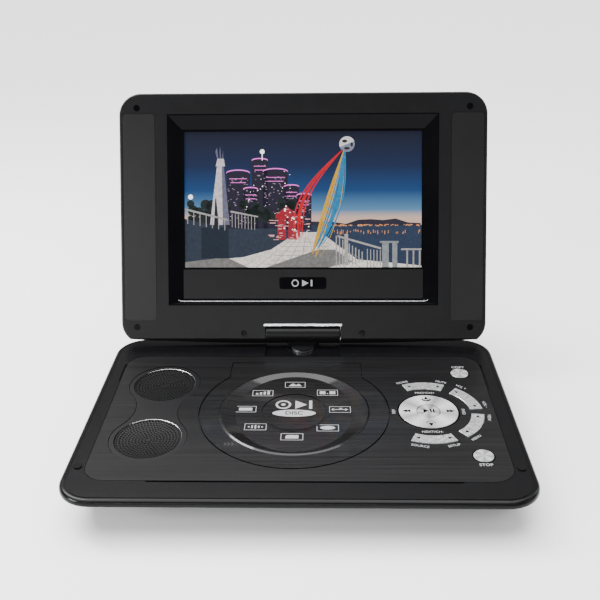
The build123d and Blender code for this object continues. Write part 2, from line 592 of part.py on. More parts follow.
def face_rect(x0, x1, v0, v1, r=0.0):
    shape = RectangleRounded(x1 - x0, v1 - v0, r) if r else Rectangle(x1 - x0, v1 - v0)
    return Pos((x0 + x1) / 2, (v0 + v1) / 2) * shape


def lid_outline(inset=0.0):
    rect = face_rect(-LID_W / 2 + inset, LID_W / 2 - inset, inset, LID_H - inset, max(LID_R - inset, 4))
    return rect & (Pos(0, LID_BOW + inset) * Circle(LID_BOW))


def notch(grow=0.0):
    return face_rect(-NOTCH_X - grow, NOTCH_X + grow, -5, NOTCH_V + grow)


def stud(x, v, w0, w1, r):
    """Cylinder square to the lid face."""
    return Pos(x, (w0 + w1) / 2, v) * Rot(90, 0, 0) * Cylinder(r, w1 - w0)


def axle_hole(grow):
    return rod_x(-60, 60, AXIS_W, AXIS_V, AXLE_R + grow)


def heel():
    """What is cut away to round the lid's bottom edge about the tilt axis."""
    corner = block(-LID_W, LID_W, -2, LID_T + 2, -6, AXIS_V)
    return corner - rod_x(-LID_W - 1, LID_W + 1, AXIS_W, AXIS_V, HEEL_R)


def lid_bezel():
    body = panel(lid_outline(), 0, BEZEL_T)
    front = body.faces().sort_by(Axis.Y)[0]
    body = fillet(front.outer_wire().edges(), 1.5)
    body -= heel()
    body -= panel(lid_outline(3.2) - notch(2.6) - face_rect(-WIN_X - 2, WIN_X + 2, WIN_V0 - 2, WIN_V1 + 2), 2.0, 5.0)
    body -= panel(face_rect(-WIN_X, WIN_X, WIN_V0, WIN_V1), -1, 5)
    body -= panel(notch(), -1, 5)
    for s in (-1, 1):
        x0, x1 = sorted((s * SIDE_X0, s * SIDE_X1))
        body -= panel(face_rect(x0, x1, SIDE_V0, SIDE_V1, 3.0), -1, 0.8)
    for x, v in LID_SCREWS:
        body += stud(x, v, 1.5, BEZEL_T, 3.4)
        body -= stud(x, v, -1, 1.4, 2.6) + stud(x, v, 0, 5, 1.25)
    body -= axle_hole(TINY)
    body -= panel(face_rect(-NOTCH_X - 1.2, NOTCH_X + 1.2, NOTCH_V - 1.0, NOTCH_V + 1.2, 0.6), -1, 1.0)
    return body


def sloped(inset, w, slope, depth):
    """Outline of the lid drawn in towards the back."""
    solid = extrude(FACE_UP * lid_outline(inset), amount=-depth, taper=degrees(atan2(slope, depth)))
    return Pos(0, w, 0) * solid


def lid_back():
    slope = LID_T - BACK_SLOPE_T
    body = panel(lid_outline(), BEZEL_T, slope)
    body += sloped(0, slope, BACK_SLOPE, BACK_SLOPE_T)
    body -= heel()
    cavity = panel(lid_outline(3.0), BEZEL_T - 1, 5.5)
    cavity += sloped(3.0, 5.5, 6.8, LID_T - 2 - 5.5)
    body -= cavity - panel(notch(2.6), BEZEL_T - 1, LID_T)
    body -= panel(notch(), BEZEL_T - 1, LID_T + 1)
    for x, v in LID_SCREWS:
        body += stud(x, v, BEZEL_T, LID_T - 3.5, 3.0)
        body -= stud(x, v, BEZEL_T - 1, 8.9, 1.25)
    for side in (-1, 1):
        body -= bracket_block(side, 0.1)
    return body - axle_hole(TINY)


def window_frame():
    frame = panel(face_rect(-WIN_X + 0.2, WIN_X - 0.2, WIN_V0 + 0.2, WIN_V1 - 0.2), 0.1, 4.6)
    edge = 0.7
    mouth = FACE_UP * face_rect(-WIN_X + edge, WIN_X - edge, WIN_V0 + edge, WIN_V1 - edge)
    floor = Pos(0, WELL_W, 0) * (FACE_UP * face_rect(-WELL_X, WELL_X, WELL_V0, WELL_V1))
    frame -= loft([mouth, floor])
    return frame - panel(face_rect(-LCD_X, LCD_X, LCD_V0, LCD_V1), 0, 6)


def lcd_screen():
    return panel(face_rect(-LCD_X - 1.5, LCD_X + 1.5, LCD_V0 - 2, LCD_V1 + 1.5), 4.65, 5.6)


def lcd_module():
    frame = panel(face_rect(-100, 100, 56, 175), 4.7, 8.6)
    return frame - panel(face_rect(-LCD_X - 1.7, LCD_X + 1.7, LCD_V0 - 2.2, LCD_V1 + 1.7), 4, 7.0)


def backlight():
    return panel(face_rect(-LCD_X - 1.5, LCD_X + 1.5, LCD_V0 - 2, LCD_V1 + 1.5), 5.7, 6.9)


def lcd_board():
    return panel(face_rect(-80, 80, 22, 52, 2), 7.6, 9.0)


def lcd_board_chips():
    places = [(-62, 36, 16, 12), (-12, 38, 10, 10), (14, 34, 14, 8), (62, 40, 8, 14)]
    return [panel(face_rect(x - w / 2, x + w / 2, v - h / 2, v + h / 2), 9.0, 10.4) for x, v, w, h in places]


def side_panel(side):
    x0, x1 = sorted((side * (SIDE_X0 + 0.25), side * (SIDE_X1 - 0.25)))
    return panel(face_rect(x0, x1, SIDE_V0 + 0.25, SIDE_V1 - 0.25, 2.8), 0.05, 0.8)


def hinge_trim():
    """Bright lip along the top of the hinge notch."""
    strip = panel(face_rect(-NOTCH_X - 1.1, NOTCH_X + 1.1, NOTCH_V - 0.9, NOTCH_V + 1.1, 0.5), -0.1, 0.95)
    return fillet(strip.edges().filter_by(Axis.X), 0.3)


def bracket_block(side, grow):
    x0, x1 = sorted((side * 33.3, side * 43.0))
    return block(x0 - grow, x1 + grow, 3.9, 9.1 + grow, 4.9 - grow, 13.0 + grow)


def hinge_bracket(side):
    """Steel leaf that clamps an axle and is screwed up the inside of the lid."""
    x0, x1 = sorted((side * 33.3, side * 43.0))
    leaf = panel(face_rect(x0, x1, 11.8, 50), 9.0, 10.4)
    leaf = leaf + bracket_block(side, 0) - axle_hole(0)
    for v in (28, 42):
        leaf -= stud((x0 + x1) / 2, v, 8, 12, 1.6)
    return leaf


def tilt_axle(side, bore):
    x0, x1 = sorted((side * 19.5, side * 43.0))
    axle = rod_x(x0, x1, AXIS_W, AXIS_V, AXLE_R)
    return axle - rod_x(x0 - 1, x1 + 1, AXIS_W, AXIS_V, bore) if bore else axle


def lid_screw(x, v):
    return stud(x, v, -0.15, 1.4, 2.5) + stud(x, v, 1.3, 8.8, 1.2)


# ---- build ----
def build_base():
    save("lower_case", lower_case())
    save("upper_case", upper_case())
    save("deck_plate", deck_plate())
    save("speaker_trim", speaker_trim())
    save("speaker_grilles", *[speaker_grille(y) for y in SPK_YS])
    save("speakers", *[speaker_driver(y) for y in SPK_YS])
    save("disc_well", disc_well())
    save("traverse_frame", traverse_frame())
    save("traverse_grommets", *grommets())
    save("spindle_motor", spindle_motor())
    save("guide_rails", *guide_rails())
    save("sled_motor", sled_motor())
    save("key_board", key_board())
    save("key_membrane", key_membrane())
    save("main_board", main_board(), *board_chips())
    save("battery_pack", battery_pack())
    save("headphone_jack", round_jack(HEADPHONE_Y, HEADPHONE_R, 3.0))
    save("av_jack", round_jack(AV_Y, HEADPHONE_R, 3.0))
    save("dc_jack", dc_jack())
    save("usb_socket", usb_socket(), usb_tongue())
    save("card_slot", card_slot())
    save("power_switch", power_switch_body())
    save("swivel_bush", swivel_bush())
    save("latch_spring", latch_spring())
    save("rubber_feet", *[post(x, y, 0, FLOOR_Z + 0.8, 5.9) for x, y in FEET])
    save("deck_bumpers", *[post(x, y, DECK_Z - 1.2, DECK_Z + 0.8, 2.7) for x, y in BUMPERS])
    save("case_screws", *[post(x, y, 4.6, 6.0, 2.6) + post(x, y, 6.0, 20.0, 1.2) for x, y in BASE_SCREWS])


def build_movers():
    save("disc_door", disc_door())
    save("door_pins", *hinge_pins(0).children)
    save("door_latch", door_latch())
    save("disc_hub", disc_hub())
    save("laser_sled", laser_sled())
    save("laser_lens", laser_lens())
    save("lead_screw", lead_screw())
    save("nav_ring", nav_ring())
    save("nav_gimbal", nav_gimbal())
    save("play_key", play_key())
    for name, angle in ARC_KEYS.items():
        save(name, arc_key(angle))
    for name, (x, y) in ROUND_KEYS.items():
        save(name, round_key(x, y))
    save("power_knob", power_knob())


def build_hinge():
    save("hinge_barrel", hinge_barrel())
    save("swivel_spindle", swivel_spindle())
    save("spindle_nut", spindle_nut(), *spring_washers())
    save("tilt_bushes", tilt_bush(-1), tilt_bush(1))


def build_lid():
    pieces = {
        "lid_bezel": [lid_bezel()],
        "lid_back_cover": [lid_back()],
        "window_frame": [window_frame()],
        "lcd_screen": [lcd_screen()],
        "lcd_module": [lcd_module()],
        "backlight": [backlight()],
        "lcd_board": [lcd_board(), *lcd_board_chips()],
        "side_panels": [side_panel(-1), side_panel(1)],
        "hinge_trim": [hinge_trim()],
        "hinge_brackets": [hinge_bracket(-1), hinge_bracket(1)],
        "tilt_axles": [tilt_axle(-1, 0), tilt_axle(1, 1.5)],
        "lid_screws": [lid_screw(x, v) for x, v in LID_SCREWS],
    }
    for name, solids in pieces.items():
        save(name, *[LID_PLACE * s for s in solids])


build_base()
build_movers()
build_hinge()
build_lid()
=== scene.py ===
"""Looks of the portable disc player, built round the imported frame.

The frame is in metres. Drawings on the deck and the lid are in millimetres, and mm() turns them into metres.
Lid pieces are drawn in the lid's own frame: across, depth behind the face, up the lid.
"""
import json
import math
import random

import bpy
from mathutils import Matrix, Vector


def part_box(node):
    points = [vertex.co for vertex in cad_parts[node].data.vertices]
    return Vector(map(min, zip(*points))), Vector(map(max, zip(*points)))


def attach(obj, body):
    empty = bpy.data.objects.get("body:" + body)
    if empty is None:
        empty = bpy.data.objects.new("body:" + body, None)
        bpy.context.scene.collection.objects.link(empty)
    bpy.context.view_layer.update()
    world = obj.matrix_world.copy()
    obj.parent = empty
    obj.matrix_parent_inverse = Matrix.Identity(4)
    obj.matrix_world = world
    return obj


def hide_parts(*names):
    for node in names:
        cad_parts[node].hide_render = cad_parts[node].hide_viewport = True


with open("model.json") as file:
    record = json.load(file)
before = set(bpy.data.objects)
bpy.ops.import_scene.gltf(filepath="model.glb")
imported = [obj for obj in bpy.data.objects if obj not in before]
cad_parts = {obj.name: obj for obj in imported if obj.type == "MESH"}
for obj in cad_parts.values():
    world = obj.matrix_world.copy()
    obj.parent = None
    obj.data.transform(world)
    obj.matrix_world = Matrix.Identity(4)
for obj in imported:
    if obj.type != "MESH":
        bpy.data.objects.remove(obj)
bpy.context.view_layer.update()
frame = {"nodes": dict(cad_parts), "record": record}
nodes = frame["nodes"]
joints = {j["name"]: j for j in frame["record"]["behaviour"]["joints"]}


def mm(*values):
    scaled = tuple(v * 0.001 for v in values)
    return scaled if len(scaled) > 1 else scaled[0]


def centre(node):
    low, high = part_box(node)
    return (Vector(low) + Vector(high)) / 2


def plan(node):
    """Middle of a node seen from above, in millimetres."""
    middle = centre(node)
    return middle.x * 1000, middle.y * 1000


def top(node):
    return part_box(node)[1][2]


DECK = top("deck_plate")
KEY_TOP = top("nav_ring")
DISH = DECK - mm(1.2)  # floor of the dished disc door

# ---- camera, floor and light ----
CAMERA_AT = mm(14.07, -502.08, 353.91)  # angles below are in degrees before they are turned into radians
YAW, PITCH, ROLL = (math.radians(a) for a in (-1.547, 25.623, -0.707))
LENS, SENSOR = 50.05, 36.0

WORLD_POWER = 0.42
SUN_POWER, SUN_SPREAD = 6.8, math.radians(70)
SUN_TURN = (math.radians(-12), math.radians(-8), 0)
LAMPS = [  # name, place, point it is aimed at, width and height, power
    ("key_left", (-0.60, 0.26, 0.74), (-0.05, 0.0, 0.03), (0.22, 0.5), 9.0),
    ("edge_right", (0.75, 0.25, 0.5), (0.05, 0.0, 0.05), (0.12, 0.6), 1.6),
    ("front_strip", (-0.15, -0.85, 0.30), (-0.05, -0.1, 0.02), (0.8, 0.03), 2.2),
    ("side_left", (-1.05, -0.55, 0.42), (0.0, 0.05, 0.08), (0.40, 0.3), 15.0),
    ("side_right", (1.15, -0.35, 0.45), (0.0, 0.1, 0.1), (0.3, 0.3), 1.0),
    ("frame_glint_left", (-0.32, -0.38, 0.375), (0.1, 0.14, 0.16), (0.05, 0.035), 0.10),
    ("frame_glint_right", (0.32, -0.38, 0.375), (-0.1, 0.14, 0.16), (0.05, 0.035), 0.10),
]
FLOOR_HALF, FLOOR_GREY = 40.0, 0.95


def add_camera():
    forward = Vector((math.sin(YAW) * math.cos(PITCH), math.cos(YAW) * math.cos(PITCH), -math.sin(PITCH)))
    right = Vector((math.cos(YAW), -math.sin(YAW), 0.0))
    up = right.cross(forward)
    across = right * math.cos(ROLL) + up * math.sin(ROLL)
    above = up * math.cos(ROLL) - right * math.sin(ROLL)
    data = bpy.data.cameras.new("camera")
    data.sensor_fit = "HORIZONTAL"
    data.sensor_width = SENSOR
    data.lens = LENS
    data.clip_start = 0.01
    camera = bpy.data.objects.new("camera", data)
    turn = Matrix((across, above, -forward)).transposed()
    camera.matrix_world = Matrix.Translation(CAMERA_AT) @ turn.to_4x4()
    bpy.context.scene.collection.objects.link(camera)
    bpy.context.scene.camera = camera


def add_world():
    """Even light from all round, and one broad overhead lamp."""
    world = bpy.data.worlds.new("studio")
    world.use_nodes = True
    world.node_tree.nodes["Background"].inputs["Color"].default_value = (1.0, 1.0, 1.0, 1.0)
    world.node_tree.nodes["Background"].inputs["Strength"].default_value = WORLD_POWER
    bpy.context.scene.world = world
    sun = bpy.data.lights.new("overhead", "SUN")
    sun.energy = SUN_POWER
    sun.angle = SUN_SPREAD
    lamp = bpy.data.objects.new("overhead", sun)
    lamp.rotation_euler = SUN_TURN
    bpy.context.scene.collection.objects.link(lamp)


def add_lamp(name, at, look_at, size, power):
    data = bpy.data.lights.new(name, "AREA")
    data.shape = "RECTANGLE"
    data.size, data.size_y = size
    data.energy = power
    lamp = bpy.data.objects.new(name, data)
    lamp.location = at
    lamp.rotation_euler = (Vector(look_at) - Vector(at)).to_track_quat("-Z", "Y").to_euler()
    bpy.context.scene.collection.objects.link(lamp)


def add_floor():
    mesh = bpy.data.meshes.new("floor")
    corners = [(x * FLOOR_HALF, y * FLOOR_HALF, 0) for x, y in ((-1, -1), (1, -1), (1, 1), (-1, 1))]
    mesh.from_pydata(corners, [], [(0, 1, 2, 3)])
    floor = bpy.data.objects.new("floor", mesh)
    bpy.context.scene.collection.objects.link(floor)
    mat = bpy.data.materials.new("floor")
    mat.use_nodes = True
    shader = mat.node_tree.nodes["Principled BSDF"]
    shader.inputs["Base Color"].default_value = (FLOOR_GREY, FLOOR_GREY, FLOOR_GREY, 1)
    shader.inputs["Roughness"].default_value = 0.9
    mesh.materials.append(mat)


# ---- materials ----
COAT_ROUGH = 0.08


class Shader:
    """A principled material and the nodes that are hung on it."""

    def __init__(self, name, colour, rough, metallic=0.0, coat=0.0, specular=0.5):
        self.mat = bpy.data.materials.new(name)
        self.mat.use_nodes = True
        self.nodes = self.mat.node_tree.nodes
        self.links = self.mat.node_tree.links
        self.main = self.nodes["Principled BSDF"]
        self.colour = colour
        self.put("Base Color", (*colour, 1.0))
        self.put("Roughness", rough)
        self.put("Metallic", metallic)
        self.put("Specular IOR Level", specular)
        if coat:
            self.put("Coat Weight", coat)
            self.put("Coat Roughness", COAT_ROUGH)
        self.coords = self.nodes.new("ShaderNodeTexCoord").outputs["Object"]
        self.bumps = None

    def put(self, socket, value):
        self.main.inputs[socket].default_value = value

    def noise(self, scale, detail=3.0, stretch=(1, 1, 1)):
        mapping = self.nodes.new("ShaderNodeMapping")
        mapping.inputs["Scale"].default_value = stretch
        self.links.new(self.coords, mapping.inputs["Vector"])
        node = self.nodes.new("ShaderNodeTexNoise")
        node.inputs["Scale"].default_value = scale
        node.inputs["Detail"].default_value = detail
        self.links.new(mapping.outputs["Vector"], node.inputs["Vector"])
        return node.outputs["Fac"]

    def ramp(self, factor, stops):
        """Colours or plain values along a factor. A stop is where it is, and a colour or a value."""
        node = self.nodes.new("ShaderNodeValToRGB")
        elements = node.color_ramp.elements
        while len(elements) < len(stops):
            elements.new(0.5)
        for element, (at, value) in zip(elements, stops):
            element.position = at
            element.color = (*value, 1.0) if isinstance(value, tuple) else (value, value, value, 1.0)
        self.links.new(factor, node.inputs["Fac"])
        return node.outputs["Color"]

    def bump(self, height, strength, distance):
        node = self.nodes.new("ShaderNodeBump")
        node.inputs["Strength"].default_value = strength
        node.inputs["Distance"].default_value = distance
        self.links.new(height, node.inputs["Height"])
        if self.bumps:
            self.links.new(self.bumps, node.inputs["Normal"])
        self.bumps = node.outputs["Normal"]
        self.links.new(self.bumps, self.main.inputs["Normal"])
        return self

    def vary(self, factor, spread, low=0.35, high=0.65):
        """Colour a little lighter and darker by a pattern."""
        dark = tuple(c * (1 - spread) for c in self.colour)
        light = tuple(min(1.0, c * (1 + spread)) for c in self.colour)
        self.links.new(self.ramp(factor, [(low, dark), (high, light)]), self.main.inputs["Base Color"])

    def dull(self, factor, low, high):
        """Roughness between two values by a pattern."""
        self.links.new(self.ramp(factor, [(0.3, low), (0.7, high)]), self.main.inputs["Roughness"])


def moulded(name, colour, rough, grain=1400.0, shine=0.17):
    """Moulded plastic: fine spark texture, faint mottling and handling marks."""
    s = Shader(name, colour, rough, specular=shine)
    s.vary(s.noise(90.0, 6.0), 0.1)
    s.dull(s.noise(500.0, 5.0), rough * 0.92, min(1.0, rough * 1.1))
    return s.bump(s.noise(grain, 2.0), 0.35, 0.00006).mat


def brushed_plate(name, colour, rough, coat=0.05):
    """Dark plate with fine brushing along X under a clear coat."""
    s = Shader(name, colour, rough, coat=coat, specular=0.16)
    fine = s.noise(1.0, 6.0, (26.0, 2600.0, 60.0))
    broad = s.noise(1.0, 5.0, (7.0, 900.0, 20.0))
    s.vary(broad, 0.75, 0.36, 0.68)
    s.dull(fine, rough * 0.8, rough * 1.25)
    return s.bump(fine, 0.5, 0.00005).mat


def lacquer(name, colour, rough):
    """Silver lacquer with metal flake."""
    s = Shader(name, colour, rough, metallic=0.6)
    s.vary(s.noise(420.0, 4.0), 0.28)
    s.dull(s.noise(240.0, 4.0), rough * 0.85, rough * 1.2)
    return s.bump(s.noise(3800.0, 1.0), 0.25, 0.00004).mat


# painted highlights and shade of turned metal, light and dark sectors round its middle: part of a full turn,
# and how light
PAINTED_HIGHLIGHT_FAN = [(0.0, 0.95), (0.07, 0.42), (0.15, 0.9), (0.24, 0.4), (0.36, 1.0), (0.46, 0.45), (0.58, 0.92),
       (0.68, 0.35), (0.80, 1.0), (0.90, 0.4), (1.0, 0.95)]


def spun(name, colour, rough, middle):
    """Turned metal: fine rings round a point of the plan, and painted highlights: the fan of light and dark
    sectors as colour.
    """
    s = Shader(name, colour, rough, metallic=0.3)
    shift = s.nodes.new("ShaderNodeVectorMath")
    shift.operation = "SUBTRACT"
    shift.inputs[1].default_value = (middle[0], middle[1], 0.0)
    s.links.new(s.coords, shift.inputs[0])
    wave = s.nodes.new("ShaderNodeTexWave")
    wave.wave_type = "RINGS"
    wave.rings_direction = "Z"
    wave.inputs["Scale"].default_value = 900.0
    wave.inputs["Distortion"].default_value = 1.0
    s.links.new(shift.outputs["Vector"], wave.inputs["Vector"])
    fan = s.nodes.new("ShaderNodeTexGradient")
    fan.gradient_type = "RADIAL"
    s.links.new(shift.outputs["Vector"], fan.inputs["Vector"])
    painted_highlight_tint = [(at, tuple(min(1.0, c * value) for c in colour)) for at, value in PAINTED_HIGHLIGHT_FAN]
    s.links.new(s.ramp(fan.outputs["Color"], painted_highlight_tint), s.main.inputs["Base Color"])
    return s.bump(wave.outputs["Fac"], 0.25, 0.00003).mat


def metal(name, colour, rough):
    """Bare metal with drawn scratches along X and Z."""
    scratch = (40.0, 900.0, 40.0)
    s = Shader(name, colour, rough, metallic=1.0)
    s.vary(s.noise(30.0, 4.0), 0.08)
    s.dull(s.noise(1.0, 5.0, scratch), rough * 0.7, min(1.0, rough * 1.4))
    return s.bump(s.noise(1.0, 4.0, scratch), 0.15, 0.00004).mat


def soft(name, colour, rough=0.75):
    """Rubber or paper: matt and grainy."""
    s = Shader(name, colour, rough, specular=0.1)
    s.vary(s.noise(120.0, 4.0), 0.15)
    return s.bump(s.noise(900.0, 3.0), 0.4, 0.0001).mat


def gloss(name, colour, rough=0.07):
    """Polished moulding, film or glass with a trace of flow and dust."""
    s = Shader(name, colour, rough, coat=0.03, specular=0.07)
    s.vary(s.noise(25.0, 3.0), 0.2)
    s.dull(s.noise(300.0, 6.0), rough * 0.7, rough * 1.8)
    return s.bump(s.noise(35.0, 2.0), 0.05, 0.0003).mat


RIB_PITCH = mm(0.5)
WAVE_RADIANS = 20  # what a wave texture turns through per metre at a scale of 1


def ribbed(name, colour, rough):
    """Fine upright ribs across the panels beside the screen."""
    s = Shader(name, colour, rough, specular=0.25)
    wave = s.nodes.new("ShaderNodeTexWave")
    wave.bands_direction = "X"
    wave.inputs["Scale"].default_value = 2 * math.pi / (WAVE_RADIANS * RIB_PITCH)
    s.links.new(s.coords, wave.inputs["Vector"])
    s.vary(s.noise(25.0, 4.0), 0.1)
    s.bump(wave.outputs["Fac"], 0.3, 0.0001)
    return s.bump(s.noise(1500.0, 2.0), 0.25, 0.00005).mat


def circuit(name, colour):
    """Solder resist over faint copper tracks."""
    s = Shader(name, colour, 0.35, coat=0.3)
    cells = s.nodes.new("ShaderNodeTexVoronoi")
    cells.inputs["Scale"].default_value = 260.0
    cells.distance = "MANHATTAN"
    s.links.new(s.coords, cells.inputs["Vector"])
    s.vary(cells.outputs["Distance"], 0.35, 0.2, 0.5)
    return s.bump(cells.outputs["Distance"], 0.3, 0.00005).mat


def ink(name, colour):
    """Screen-printed ink, a little uneven."""
    s = Shader(name, colour, 0.55)
    s.vary(s.noise(3000.0, 2.0), 0.05)
    return s.bump(s.noise(4000.0, 2.0), 0.2, 0.00002).mat


SATIN = (0.0045, 0.0045, 0.0050)
PAINT = {
    "case_black": moulded("case_black", SATIN, 0.36),
    "case_top": moulded("case_top", (0.0030, 0.0030, 0.0034), 0.24, shine=0.14),
    "case_under": moulded("case_under", (0.006, 0.006, 0.0065), 0.5),
    "deck_brushed": brushed_plate("deck_brushed", (0.0036, 0.0036, 0.0040), 0.36),
    "door_lacquered": brushed_plate("door_lacquered", (0.0034, 0.0034, 0.0038), 0.3, 0.42),
    "gloss_black": gloss("gloss_black", (0.0015, 0.0015, 0.002)),
    "key_silver": lacquer("key_silver", (0.44, 0.44, 0.45), 0.26),
    # turned silver with painted highlights: a fan of light and dark sectors round the navigation ring
    "key_spun": spun("key_spun", (0.70, 0.70, 0.71), 0.26, centre("nav_ring")),
    "grille_black": moulded("grille_black", (0.0045, 0.0045, 0.005), 0.34, 2600.0, shine=0.2),
    "trim_bright": metal("trim_bright", (0.55, 0.56, 0.58), 0.16),
    "steel": metal("steel", (0.46, 0.47, 0.49), 0.34),
    "brass": metal("brass", (0.72, 0.55, 0.28), 0.3),
    "board_green": circuit("board_green", (0.015, 0.12, 0.045)),
    "inner_plastic": moulded("inner_plastic", (0.02, 0.02, 0.022), 0.5),
    "light_plastic": moulded("light_plastic", (0.70, 0.70, 0.67), 0.5),
    "cell_wrap": gloss("cell_wrap", (0.02, 0.06, 0.20), 0.25),
    "rubber_black": soft("rubber_black", (0.002, 0.002, 0.002)),
    "silicone_grey": soft("silicone_grey", (0.22, 0.22, 0.23), 0.6),
    "screen_glass": gloss("screen_glass", (0.004, 0.005, 0.008), 0.12),
    "lens_glass": gloss("lens_glass", (0.05, 0.03, 0.16), 0.04),
    "cone_paper": soft("cone_paper", (0.03, 0.03, 0.03)),
    "side_ribbed": ribbed("side_ribbed", SATIN, 0.40),
    "socket_black": moulded("socket_black", (0.003, 0.003, 0.0035), 0.4, 2000.0),
    # grey metal for the beads that stand in as painted highlights on glossy black ridges and edges
    "ridge_polish": metal("ridge_polish", (0.42, 0.42, 0.43), 0.2),
    # near-black paint, for the painted shade round the keys and for the black marks printed on them
    "gap_shade_and_mark_black": moulded("gap_shade_and_mark_black", (0.0004, 0.0004, 0.0004), 0.9, shine=0.02),
    "print_white": ink("print_white", (0.28, 0.28, 0.29)),
    "print_grey": ink("print_grey", (0.02, 0.02, 0.021)),
}
OWN_PAINT = {"lid_screws": "gloss_black", "upper_case": "case_top", "disc_door": "door_lacquered",
             "door_pins": "socket_black"}
for key in ("key_copy", "key_stop", "play_key"):  # the rings and the painted fan of highlights of each of these keys run round its own middle
    PAINT[key] = spun(key, (0.52, 0.52, 0.53), 0.24, centre(key))
    OWN_PAINT[key] = key


def paint_frame():
    for part in frame["record"]["subparts"]:
        node = nodes[part["node"]]
        node.data.materials.clear()
        node.data.materials.append(PAINT[OWN_PAINT.get(part["node"], part["material_slot"])])


# ---- mesh helpers ----
def piece(name, verts, faces, paint, body, slot, smooth=False):
    mesh = bpy.data.meshes.new(name)
    mesh.from_pydata([tuple(v) for v in verts], [], faces)
    mesh.update()
    obj = bpy.data.objects.new(name, mesh)
    bpy.context.scene.collection.objects.link(obj)
    mesh.materials.append(PAINT[paint] if isinstance(paint, str) else paint)
    if smooth:
        mesh.shade_smooth()
    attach(obj, body)
    return obj


AXIS_DEPTH, AXIS_UP = mm(6.5, 7.5)  # tilt axis behind the lid's face, and above its bottom edge


def place_of_lid():
    """Matrix from the lid's own frame to the row frame at rest."""
    tilt = joints["tilt"]
    lean = math.radians(-tilt["range_deg"][0] - 90)
    return (
        Matrix.Translation(tilt["pos_m"])
        @ Matrix.Rotation(-lean, 4, "X")
        @ Matrix.Translation((0, -AXIS_DEPTH, -AXIS_UP))
    )


LID = place_of_lid()


def deck_plane(z):
    return Matrix.Translation((0, 0, z))


def lid_plane(depth):
    """Sketch x across, y up the lid, facing the viewer, at a depth behind the face in millimetres."""
    turn = Matrix(((1, 0, 0, 0), (0, 0, -1, mm(depth)), (0, 1, 0, 0), (0, 0, 0, 1)))
    return LID @ turn


class Print:
    """Flat shapes gathered into one thin piece. A plane maps sketch x, y to the row frame."""

    def __init__(self, plane, thick=0.02):
        self.plane = plane
        self.thick = mm(thick)
        self.verts = []
        self.faces = []

    def poly(self, *outlines):
        """Top and sides of a flat plate for each closed outline, in millimetres."""
        for points in outlines:
            base, n = len(self.verts), len(points)
            for level in (0.0, self.thick):
                self.verts += [self.plane @ Vector((*mm(x, y), level)) for x, y in points]
            self.faces.append([base + n + i for i in range(n)])
            for i in range(n):
                j = (i + 1) % n
                self.faces.append([base + i, base + j, base + n + j, base + n + i])

    def band(self, outer, inner):
        """Plate between two closed outlines with as many points."""
        n = len(outer)
        for i in range(n):
            j = (i + 1) % n
            self.poly([outer[i], outer[j], inner[j], inner[i]])

    def done(self, name, paint, body, slot):
        return piece(name, self.verts, self.faces, paint, body, slot)


def circle(cx, cy, r, n=40, ry=None, start=0.0, stop=360.0):
    """Points of a circle, ellipse or arc. An arc has both of its ends."""
    span = stop - start
    count = n if span >= 360 else n + 1
    step = math.radians(span / n)
    first = math.radians(start)
    ry = ry or r
    return [(cx + r * math.cos(first + i * step), cy + ry * math.sin(first + i * step)) for i in range(count)]


def rect(cx, cy, w, h, r=0.0):
    """Rectangle round a middle, with its corners rounded to a radius of r."""
    corners = ((-1, -1), (1, -1), (1, 1), (-1, 1))
    if not r:
        return [(cx + sx * w / 2, cy + sy * h / 2) for sx, sy in corners]
    points = []
    for sx, sy, a in ((1, -1, 270), (1, 1, 0), (-1, 1, 90), (-1, -1, 180)):
        points += circle(cx + sx * (w / 2 - r), cy + sy * (h / 2 - r), r, 4, start=a, stop=a + 90)
    return points


def arrowhead(x, y, size, heading, half_angle):
    """Triangle that points along a heading. Its rear corners are turned half_angle to either side."""
    turns = (heading, heading + half_angle, heading - half_angle)
    return [(x + size * math.cos(a), y + size * math.sin(a)) for a in turns]


def around(middle, r, degrees):
    """Point at a distance and direction from a middle."""
    a = math.radians(degrees)
    return middle[0] + r * math.cos(a), middle[1] + r * math.sin(a)


TEXT_THICK = mm(0.01)  # above and below its plane


def lettering(name, words, plane, at, size, bold, turn=0.0,
              paint="print_white", body="base"):
    """Generic legend as a thin solid text."""
    curve = bpy.data.curves.new(name, "FONT")
    curve.body = words
    curve.size = mm(size)
    curve.align_x = "CENTER"
    curve.align_y = "CENTER"
    curve.extrude = TEXT_THICK
    curve.offset = mm(bold)
    curve.resolution_u = 3
    text = bpy.data.objects.new(name, curve)
    bpy.context.scene.collection.objects.link(text)
    mesh = bpy.data.meshes.new_from_object(text)
    bpy.data.objects.remove(text)
    place = Matrix.Translation((*mm(*at), TEXT_THICK))
    mesh.transform(plane @ place @ Matrix.Rotation(math.radians(turn), 4, "Z"))
    obj = bpy.data.objects.new(name, mesh)
    bpy.context.scene.collection.objects.link(obj)
    mesh.materials.clear()
    mesh.materials.append(PAINT[paint])
    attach(obj, body)


# ---- speaker grilles ----
GRILLE_R, GRILLE_T, GRILLE_DISH = 22.2, 0.45, 0.9  # radius, thickness, and rise from the middle to the edge
GRILLE_EDGE = DECK * 1000 - 1.0  # height of the edge
HOLE_PITCH, HOLE_R = 2.08, 0.78
BEAD_R, BEAD_Z = 22.75, DECK * 1000 - 0.62  # painted highlight: a grey metal bead round the rear of a speaker opening's edge
BEAD_START, BEAD_STOP = -35.0, 150.0
BEAD_THIN, BEAD_SWELL = 0.05, 0.34
EIGHT = ((-1, -1), (0, -1), (1, -1), (1, 0), (1, 1), (0, 1), (-1, 1), (-1, 0))  # ways round a square


def speakers():
    """Middle of each speaker in plan, to 0.1 mm, from the box round both grilles."""
    low, high = (Vector(corner) * 1000 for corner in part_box("speaker_grilles"))
    radius = (high.x - low.x) / 2
    x = round((low.x + high.x) / 2, 1)
    return {"rear": (x, round(high.y - radius, 1)), "front": (x, round(low.y + radius, 1))}


